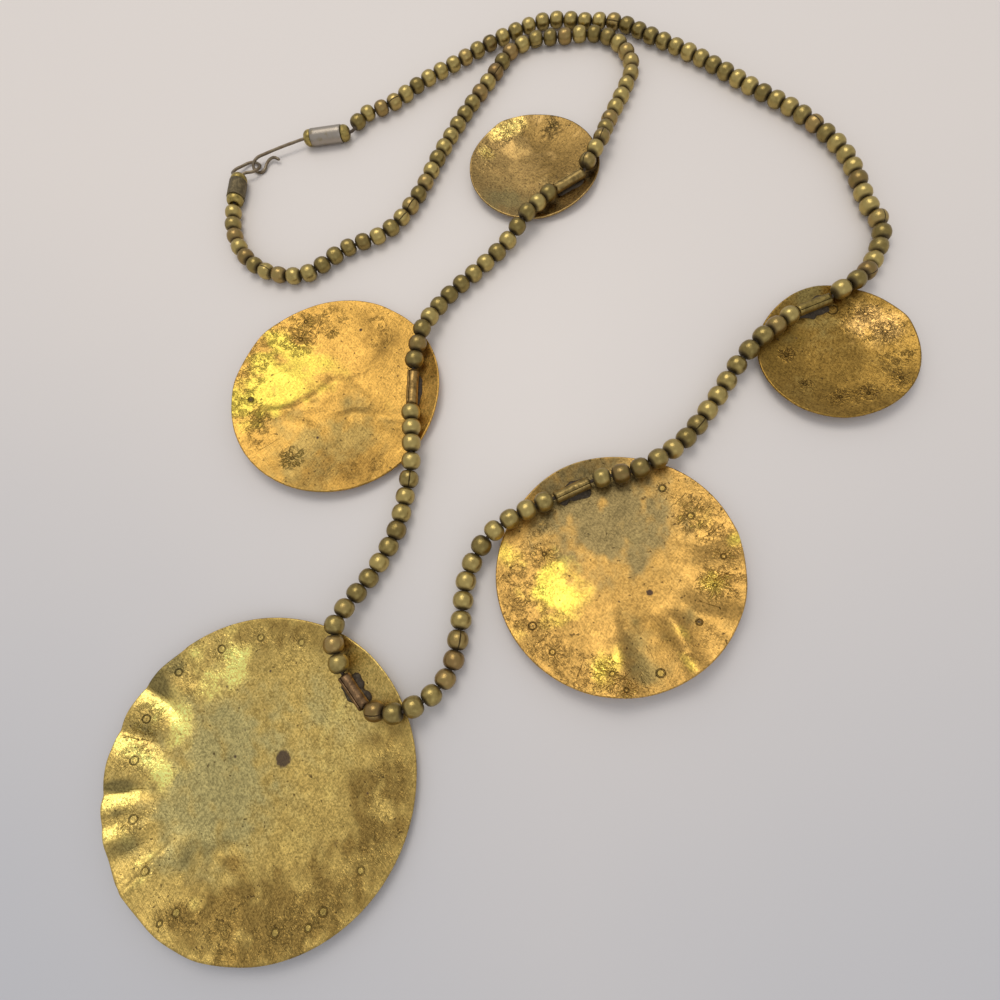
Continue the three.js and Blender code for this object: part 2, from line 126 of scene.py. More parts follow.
# The place on the object in millimetres, stretched and turned about Z when a grain has a direction.
def millimetres(start, stretch=(1, 1, 1), turn=0.0):
    place = start.node("ShaderNodeTexCoord", {}, {}, 3)
    scale = [1000 * share for share in stretch]
    turned = {"Vector": place, "Rotation": (0, 0, turn)}
    straight = start.node("ShaderNodeMapping", {}, turned)
    return start.node("ShaderNodeVectorMath", {"operation": "MULTIPLY"}, {0: straight, 1: scale})


def attribute(start, name, output):
    return start.node("ShaderNodeAttribute", {"attribute_name": name}, {}, output)


def parts(vector):
    return [vector.node("ShaderNodeSeparateXYZ", {}, {0: vector}, k) for k in range(3)]


# A metal from what varies over it. Height is in millimetres and becomes a bump.
def metal(name, paint):
    material = bpy.data.materials.new(name)
    material.use_nodes = True
    tree = material.node_tree
    shader = next(n for n in tree.nodes if n.type == "BSDF_PRINCIPLED")
    start = Flow(tree)
    looks = paint(start)
    height = looks.pop("Height", None)
    if height is not None:
        bump = {"Height": height, "Distance": mm, "Strength": 1.0}
        looks["Normal"] = start.node("ShaderNodeBump", {}, bump)
    for socket, value in looks.items():
        if isinstance(value, Flow):
            tree.links.new(value.socket, shader.inputs[socket])
        else:
            shader.inputs[socket].default_value = value
    return material


# Meshes

# A mesh from points in millimetres and faces in lists of equal size, each list an array of corner numbers.
# The faces are turned round together where the volume that they enclose comes out negative.
def makePiece(name, points, faceLists, material, paints=()):
    volume = 0
    for faces in faceLists:
        for k in range(1, faces.shape[1] - 1):
            first, second, third = (points[faces[:, corner]] for corner in (0, k, k + 1))
            volume += np.einsum("ij,ij->", first, np.cross(second, third))
    if volume < 0:
        faceLists = [faces[:, ::-1] for faces in faceLists]
    mesh = bpy.data.meshes.new(name)
    mesh.vertices.add(len(points))
    mesh.vertices.foreach_set("co", (points * mm).astype(np.float32).ravel())
    sizes = np.concatenate([np.full(len(faces), faces.shape[1]) for faces in faceLists])
    mesh.loops.add(int(sizes.sum()))
    corners = np.concatenate([faces.ravel() for faces in faceLists])
    mesh.loops.foreach_set("vertex_index", corners.astype(np.int32))
    mesh.polygons.add(len(sizes))
    starts = np.concatenate([[0], np.cumsum(sizes)[:-1]])
    mesh.polygons.foreach_set("loop_start", starts.astype(np.int32))
    mesh.polygons.foreach_set("use_smooth", np.ones(len(sizes), bool))
    mesh.update(calc_edges=True)
    for label, values in dict(paints).items():
        kind, field = ("FLOAT_VECTOR", "vector") if values.ndim == 2 else ("FLOAT", "value")
        layer = mesh.attributes.new(label, kind, "POINT")
        layer.data.foreach_set(field, values.astype(np.float32).ravel())
    mesh.materials.append(material)
    piece = bpy.data.objects.new(name, mesh)
    scene.collection.objects.link(piece)
    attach(piece, "root")
    return piece


# The faces of a skin through rows of points whose columns run round: quads between rows, and a fan on a
# middle point for each end. Several skins can lie one after another in one array, each of rows × around
# points and two middles.
def skinFaces(rows, around, skins=1):
    index = np.arange(rows * around).reshape(rows, around)
    onward = np.roll(index, -1, axis=1)
    quads = np.stack([index[:-1], onward[:-1], onward[1:], index[1:]], axis=-1).reshape(-1, 4)
    first = np.stack([np.full(around, rows * around), onward[0], index[0]], axis=-1)
    last = np.stack([np.full(around, rows * around + 1), index[-1], onward[-1]], axis=-1)
    fans = np.concatenate([first, last])
    step = (rows * around + 2) * np.arange(skins)[:, None, None]
    return [(quads[None] + step).reshape(-1, 4), (fans[None] + step).reshape(-1, 3)]


# The points of a skin with the two middles added: rows has the shape (rows, around, 3).
def skinPoints(rows):
    middles = rows[[0, -1]].mean(axis=1)
    return np.concatenate([rows.reshape(-1, 3), middles])


# Plane waves added up: the sum of cos(k . p + phase) over a few seeded directions, near one wavelength.
def ripple(x, y, wavelength, seed, waves=9):
    total = np.zeros_like(x)
    for way, phase, stretch in np.random.default_rng(seed).random((waves, 3)):
        pace = 2 * np.pi / (wavelength * (0.7 + 0.8 * stretch))
        turn = 2 * np.pi * way
        total += np.cos(pace * (x * np.cos(turn) + y * np.sin(turn)) + 2 * np.pi * phase)
    return total / np.sqrt(waves)


# The unit vector that points this many degrees round from +X.
def ahead(degrees):
    turn = np.radians(degrees)
    return np.stack([np.cos(turn), np.sin(turn)], axis=-1)


# The lay of the necklace, as the part's source gives it, in millimetres

lay = {
    "beadDiameter": 6.0, "beadPitch": 5.45, "clearance": 0.3, "tubeToBead": 0.8, "steepestStep": 1.3,
    "cornerReach": 0.4, "facetRise": 0.2, "lift": 0.05,
    "sheet": 0.9, "bailDiameter": 3.8, "solderHeight": 0.3, "bowlPower": 1.8,
    "sleeveDiameter": 6.4, "wireSink": 2.4,
}


# A fold that runs out along one radius.
def flute(at, amount, inner=0.72, width=0.09):
    return {"at": at, "out": inner, "toAt": at, "toOut": 1.05, "rise": amount, "width": width}


pendants = {
    "pendant_small_right": {
        "diameter": 45, "bail": 10.4, "x": 87.9, "y": 21.2, "heading": 200.1, "turn": 87, "inset": 0.142,
        "flat": 0.3, "near": 0.027, "far": 0.08, "lip": 0.033,
        "folds": [flute(275, 0.16, 0.6, 0.2), flute(160, -0.1, 0.6, 0.2), flute(215, 0.08, 0.6, 0.16)],
    },
    "pendant_medium_right": {
        "diameter": 68, "bail": 10.8, "x": 13.8, "y": -34.5, "heading": 203.7, "turn": 92.1, "inset": 0.109,
        "flat": 0.26, "near": 0.021, "far": 0.079, "lip": 0.024,
        "folds": [
            flute(150, 0.16, 0.7, 0.11), flute(165, -0.16, 0.55, 0.13),
            {"at": 178, "out": 0.4, "toAt": 181, "toOut": 1.05, "rise": 0.16, "width": 0.1},
            flute(204, -0.18, 0.62, 0.15), flute(226, 0.12, 0.65, 0.1), flute(240, -0.1, 0.7, 0.1),
            flute(259, 0.12, 0.72, 0.1), flute(98, 0.08, 0.7, 0.14),
        ],
    },
    "pendant_large": {
        "diameter": 86.6, "bail": 10.4, "x": -47.3, "y": -89.9, "heading": 128.1, "turn": 93, "inset": 0.111,
        "flat": 0.3, "near": 0.0185, "far": 0.055, "lip": 0.017,
        "folds": [
            flute(96, -0.16, 0.78), flute(108, 0.16), flute(121, -0.17, 0.74), flute(133, 0.15),
            flute(145, -0.16, 0.76), flute(158, 0.14, 0.74), flute(172, -0.12, 0.74),
            flute(186, 0.12, 0.68), flute(200, -0.1, 0.6, 0.1), flute(214, 0.12, 0.56, 0.1),
            flute(228, -0.08, 0.7, 0.12), flute(252, 0.06, 0.75, 0.12),
        ],
    },
    "pendant_medium_left": {
        "diameter": 68, "bail": 11.6, "x": -34.9, "y": 2.1, "heading": 89.8, "turn": 88.7, "inset": 0.125,
        "flat": 0.14, "near": 0.021, "far": 0.076, "lip": 0.026,
        "folds": [
            {"at": 200, "out": 0.7, "toAt": 300, "toOut": 0.22, "rise": 0.16, "width": 0.12},
            {"at": 300, "out": 0.22, "toAt": 333, "toOut": 0.76, "rise": 0.13, "width": 0.1},
            flute(140, 0.12, 0.6, 0.16), flute(175, 0.1, 0.7, 0.14), flute(250, -0.08, 0.55, 0.18),
            flute(60, -0.1, 0.5, 0.14),
        ],
    },
    "pendant_small_left": {
        "diameter": 45, "bail": 11.2, "x": 16.5, "y": 77.8, "heading": 31.2, "turn": 111, "inset": 0.169,
        "flat": 0.3, "near": 0.027, "far": 0.084, "lip": 0.031,
        "folds": [flute(158, 0.16, 0.6, 0.18), flute(207, 0.1, 0.6, 0.18), flute(120, -0.08, 0.6, 0.2)],
    },
}

route = [
    [
        [-59.6, 118.8], [-48.6, 123.4], [-36.3, 133], [-23.4, 140.6], [-10, 148.6], [10.3, 156],
        [25.3, 153], [36.5, 150.4], [48.5, 141.1], [64.9, 127.2], [80.2, 111.2], [94.8, 96.4],
        [105.8, 78.2], [109.4, 57.2], [111.9, 47.2], [103.4, 29.8],
    ],
    [[72.1, 10.8], [64.4, 3.4], [55.4, -9.5], [45.6, -21.5], [35.2, -28.8]],
    [[-4.1, -43.2], [-12, -49.6], [-16.5, -58], [-18.7, -74.6], [-21, -84.5], [-26.6, -92], [-36.5, -96]],
    [
        [-53.3, -77.9], [-53.2, -71.3], [-49.6, -64.5], [-42.8, -54], [-38.1, -44.4], [-35.9, -34],
        [-33.9, -21],
    ],
    [[-33.7, 15.4], [-31.4, 24], [-25.5, 34.7], [-14.5, 45.3], [-5.9, 54], [2.3, 64.2]],
    [
        [28, 92.8], [31, 102.6], [37.4, 117], [40.6, 128], [35.8, 140.8], [27.2, 146.2], [16.2, 146.6],
        [5.6, 147], [-3.3, 142.2], [-8.8, 133.1], [-19, 116.3], [-28.7, 97.1], [-37.1, 77.6],
        [-46.7, 64.8], [-61.5, 58.7], [-75.1, 49.7], [-86.1, 50.9], [-95.2, 56.3], [-102.2, 65.9],
        [-105.2, 76],
    ],
]
threadTurn = {"x": 1.8, "y": 1.5, "heading": 85}

hookBarrel = {"x": -81.4, "y": 111.1, "heading": 1.6, "length": 17.6}
eyeBarrel = {"x": -105.3, "y": 96.6, "heading": 268.7, "length": 13.4}
hookRoute = [
    [-86.2, 109.7, 3.2], [-91, 108.2, 3.1], [-96.4, 106.2, 3], [-99.4, 104.9, 2.9], [-100.9, 103.2, 2.5],
    [-101.3, 101.8, 1.5], [-100.4, 100.5, 0.75], [-98.4, 99.8, 0.65], [-97, 100.9, 0.8], [-96.4, 103.2, 1.1],
    [-95.1, 104.9, 1.5], [-93.4, 105.2, 1.8], [-91.2, 104, 1.6],
]
eyeRoute = [
    [-107.6, 98.1, 2.8], [-108.9, 99.2, 2.4], [-108, 101.3, 2], [-106, 103, 1.5], [-103.8, 104.7, 1],
    [-102.1, 105.1, 0.8], [-100, 104, 0.9], [-98.7, 102.1, 1.6], [-99.1, 99.7, 2.3], [-101, 98.4, 2.7],
    [-103.2, 98, 3],
]

# The source moves the whole lay so that its middle is the origin. The hook's sleeve shows by how much.
sleeveLow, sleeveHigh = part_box("hook_sleeve")
sleeveMiddle = (np.array(sleeveLow) + np.array(sleeveHigh))[:2] / 2 / mm
halfBarrel = ahead(hookBarrel["heading"]) * hookBarrel["length"] / 2
ownMiddle = np.array([hookBarrel["x"], hookBarrel["y"]]) + halfBarrel
shift = np.array([*(sleeveMiddle - ownMiddle), 0.0])
print("lay moved by", np.round(shift, 3), "mm")


# How far the bail's middle lies from the disc's centre.
def bailReach(pendant):
    return (0.5 - pendant["inset"]) * pendant["diameter"]


# A disc's underside at x, y from its centre, x towards the bail: the rim's height times share^1.8 of the
# way from the flat patch to the rim, plus the lip beyond the bail and the folds. Heights are shares of the
# diameter.
def underside(pendant, x, y):
    radius = pendant["diameter"] / 2
    flat = pendant["flat"] * radius
    out = np.hypot(x, y)
    share = np.clip((out - flat) / (radius - flat), 0, 1)
    facing = x / np.maximum(out, 1e-9)
    rim = pendant["near"] * (1 + facing) / 2 + pendant["far"] * (1 - facing) / 2
    beyond = np.maximum(0, x - bailReach(pendant)) / (radius - bailReach(pendant))
    height = rim * share ** lay["bowlPower"] + pendant["lip"] * beyond**2
    for fold in pendant["folds"]:
        height = height + np.minimum(1, 4 * share) * foldRise(fold, radius, x, y) * pendant["far"]
    return np.maximum(0, height * pendant["diameter"])


# A bell across the line that a fold follows: rise · exp(-(distance / width)²).
def foldRise(fold, radius, x, y):
    start = ahead(fold["at"]) * fold["out"] * radius
    end = ahead(fold["toAt"]) * fold["toOut"] * radius
    way = end - start
    along = np.clip(((x - start[0]) * way[0] + (y - start[1]) * way[1]) / way.dot(way), 0, 1)
    distance = np.hypot(x - start[0] - along * way[0], y - start[1] - along * way[1])
    return fold["rise"] * np.exp(-((distance / (fold["width"] * radius)) ** 2))


# A disc's centre in the plan: the bail's middle + its reach along heading + turn.
def discCentre(pendant):
    bearing = ahead(pendant["heading"] + pendant["turn"])
    return np.array([pendant["x"], pendant["y"]]) + bailReach(pendant) * bearing


# Points about a disc's centre, x towards its bail, to the necklace's frame.
def laidOut(pendant, points):
    bearing = ahead(pendant["heading"] + pendant["turn"] + 180)
    centre = discCentre(pendant)
    x, y, z = np.moveaxis(points, -1, 0)
    plan = [centre[0] + x * bearing[0] - y * bearing[1], centre[1] + x * bearing[1] + y * bearing[0], z]
    return np.stack(plan, axis=-1) + shift


# The height of a bail's axis: underside + sheet + solder + half the tube.
def bailHeight(pendant):
    below = float(underside(pendant, np.array(bailReach(pendant)), np.array(0.0)))
    return below + lay["sheet"] + lay["solderHeight"] + lay["bailDiameter"] / 2


# The upper face of a disc at places of the plan, or -1 off it.
def faceHeight(pendant, x, y):
    bearing = ahead(pendant["heading"] + pendant["turn"] + 180)
    offX, offY = x - discCentre(pendant)[0], y - discCentre(pendant)[1]
    ownX = offX * bearing[0] + offY * bearing[1]
    ownY = offY * bearing[0] - offX * bearing[1]
    inside = np.hypot(ownX, ownY) <= pendant["diameter"] / 2
    return np.where(inside, underside(pendant, ownX, ownY) + lay["sheet"], -1)


# The height of bead centres where they lie, felt at places round each bead.
def rideHeight(plan):
    radius = lay["beadDiameter"] / 2
    reach = radius + lay["clearance"] + lay["facetRise"]
    shares = np.array([0, 0.3, 0.55, 0.75, 0.9, 0.99])
    ways = ahead(np.arange(0, 360, 20))
    feel = (shares[:, None, None] * (reach + lay["cornerReach"]) * ways[None]).reshape(-1, 2)
    bulge = np.repeat(reach * np.sqrt(1 - shares**2), len(ways))
    felt = plan[:, None] + feel[None]
    height = np.full(len(plan), radius + lay["lift"])
    for pendant in pendants.values():
        face = faceHeight(pendant, felt[..., 0], felt[..., 1])
        height = np.maximum(height, np.where(face >= 0, face + bulge, 0).max(axis=1))
    return height


# A curve through points, each span a cubic whose ends' slopes are weighted by the square roots of the
# spans' lengths.
def curveThrough(points, steps):
    points = np.asarray(points, float)
    first, last = 2 * points[0] - points[1], 2 * points[-1] - points[-2]
    p = np.concatenate([[first], points, [last]])
    root = np.sqrt(np.linalg.norm(np.diff(p, axis=0), axis=1))[:, None]
    slope = np.diff(p, axis=0) / root
    wide = (p[2:] - p[:-2]) / (root[1:] + root[:-1])
    out = (slope[:-1] - wide + slope[1:])[:-1] * root[1:-1]
    into = (slope[:-1] - wide + slope[1:])[1:] * root[1:-1]
    a, b = points[:-1, None], points[1:, None]
    t = (np.arange(steps) / steps)[None, :, None]
    bend = -3 * a + 3 * b - 2 * out[:, None] - into[:, None]
    turn = 2 * a - 2 * b + out[:, None] + into[:, None]
    spans = a + out[:, None] * t + bend * t**2 + turn * t**3
    return np.concatenate([spans.reshape(-1, points.shape[1]), points[-1:]])


# Points at chosen lengths along a curve: places works those lengths out from the full one.
def evenly(curve, places):
    lengths = np.concatenate([[0], np.cumsum(np.linalg.norm(np.diff(curve, axis=0), axis=1))])
    return np.stack([np.interp(places(lengths[-1]), lengths, column) for column in curve.T], axis=-1)


# The bead centres of one stretch, evenly spaced along its curve, no step steeper than a string allows.
def beadCentres(start, points, end):
    curve = curveThrough([start[:2], *points, end[:2]], 40)
    gap = lay["tubeToBead"]
    length = np.linalg.norm(np.diff(curve, axis=0), axis=1).sum() - 2 * gap
    count = round(length / lay["beadPitch"])
    pitch = length / count
    plan = evenly(curve, lambda full: gap + (np.arange(count) + 0.5) * pitch)
    z = rideHeight(plan)
    for k in range(1, count):
        z[k] = max(z[k], z[k - 1] - lay["steepestStep"])
    for k in range(count - 2, -1, -1):
        z[k] = max(z[k], z[k + 1] - lay["steepestStep"])
    return np.column_stack([plan, z])


# The two ends of a bail's axis: its middle ∓ half its length along its heading.
def bailEnds(pendant):
    middle = np.array([pendant["x"], pendant["y"], bailHeight(pendant)])
    way = np.array([*ahead(pendant["heading"]), 0]) * pendant["bail"] / 2
    return middle - way, middle + way


# A barrel's clasp end, its string end, and the unit vector from one to the other.
def barrelEnds(barrel):
    clasp = np.array([barrel["x"], barrel["y"], lay["sleeveDiameter"] / 2])
    way = np.array([*ahead(barrel["heading"]), 0])
    return clasp, clasp + way * barrel["length"], way


# The floor, the light and the camera

studio = {
    "floorColour": (0.80, 0.745, 0.70), "floorShade": (0.53, 0.545, 0.585),
    "floorRoughness": 0.42, "floorSize": 4.0,
    "lampPlace": (-0.13, 0.46, 0.99), "lampAim": (-0.01, 0.0, 0.0), "lampSize": 0.66, "lampPower": 3.1,
    "lampColour": (1.0, 0.95, 0.87), "coreSize": 0.09, "corePower": 0.2,
    "fillPlace": (0.5, -0.9, 0.7), "fillSize": 0.6, "fillPower": 0.5, "fillColour": (0.8, 0.88, 1.0),
    "skyColour": (0.98, 0.975, 1.0), "skyStrength": 0.62,
}
view = {
    "place": (19.045, -104.32, 193.7), "lens": 25.2, "sensor": 36.0,
    "right": (0.99056, 0.0, -0.13707), "up": (0.04579, 0.94275, 0.33029),
    "back": (0.12920, -0.33344, 0.93385),
}


def areaLight(name, place, aim, size, power, colour):
    light = bpy.data.lights.new(name, "AREA")
    light.shape = "DISK"
    light.size = size
    light.energy = power
    light.color = colour
    lamp = bpy.data.objects.new(name, light)
    back = np.array(place) - np.array(aim)
    lamp.location = place
    lamp.rotation_euler = Matrix(frameOf(back)).to_euler()
    scene.collection.objects.link(lamp)


# Right, up and back directions as columns, for a thing whose back is this way.
def frameOf(back):
    back = back / np.linalg.norm(back)
    right = np.cross([0.0, 1.0, 0.0], back)
    right = right / np.linalg.norm(right)
    return np.column_stack([right, np.cross(back, right), back]).tolist()


def setTheTable():
    half = studio["floorSize"] / 2

    def paint(start):
        place = millimetres(start)
        across, along, _ = parts(place)
        # Painted light on the table: its colour runs from floorShade, painted shade at the front and the
        # sides, to floorColour near the back middle, a painted falloff of the lamp's light and glare.
        near = rise(along - abs(across - 10) * 0.45 + grain(place, 90, 2) * 40, -310, 60)
        colour = blendColours(near, studio["floorShade"], studio["floorColour"])
        roughness = studio["floorRoughness"] + 0.04 * grain(place, 9, 4)
        return {"Base Color": colour, "Roughness": roughness, "Height": 0.01 * grain(place, 2.2, 3)}

    mesh = bpy.data.meshes.new("table_top")
    corners = [(-half, -half, 0), (half, -half, 0), (half, half, 0), (-half, half, 0)]
    mesh.from_pydata(corners, [], [(0, 1, 2, 3)])
    mesh.materials.append(metal("paleTable", paint))
    table = bpy.data.objects.new("table_top", mesh)
    scene.collection.objects.link(table)


def setTheLight():
    world = bpy.data.worlds.new("paleRoom")
    world.use_nodes = True
    sky = world.node_tree.nodes["Background"]
    sky.inputs["Color"].default_value = (*studio["skyColour"], 1)
    sky.inputs["Strength"].default_value = studio["skyStrength"]
    scene.world = world
    lamp = [studio[key] for key in ("lampPlace", "lampAim", "lampSize", "lampPower", "lampColour")]
    areaLight("lamp", *lamp)
    areaLight("core", *lamp[:2], studio["coreSize"], studio["corePower"], studio["lampColour"])
    fill = [studio[key] for key in ("fillPlace", "lampAim", "fillSize", "fillPower", "fillColour")]
    areaLight("fill", *fill)


def setTheCamera():
    camera = bpy.data.objects.new("camera", bpy.data.cameras.new("camera"))
    camera.data.lens = view["lens"]
    camera.data.sensor_width = view["sensor"]
    camera.data.clip_start = 0.005
    columns = np.column_stack([view["right"], view["up"], view["back"]])
    placed = np.eye(4)
    placed[:3, :3] = columns
    placed[:3, 3] = (np.array(view["place"]) + shift) * mm
    camera.matrix_world = Matrix(placed.tolist())
    scene.collection.objects.link(camera)
    scene.camera = camera


setTheTable()
setTheLight()
setTheCamera()
scene.view_settings.view_transform = "Standard"
print("table, light and camera set")
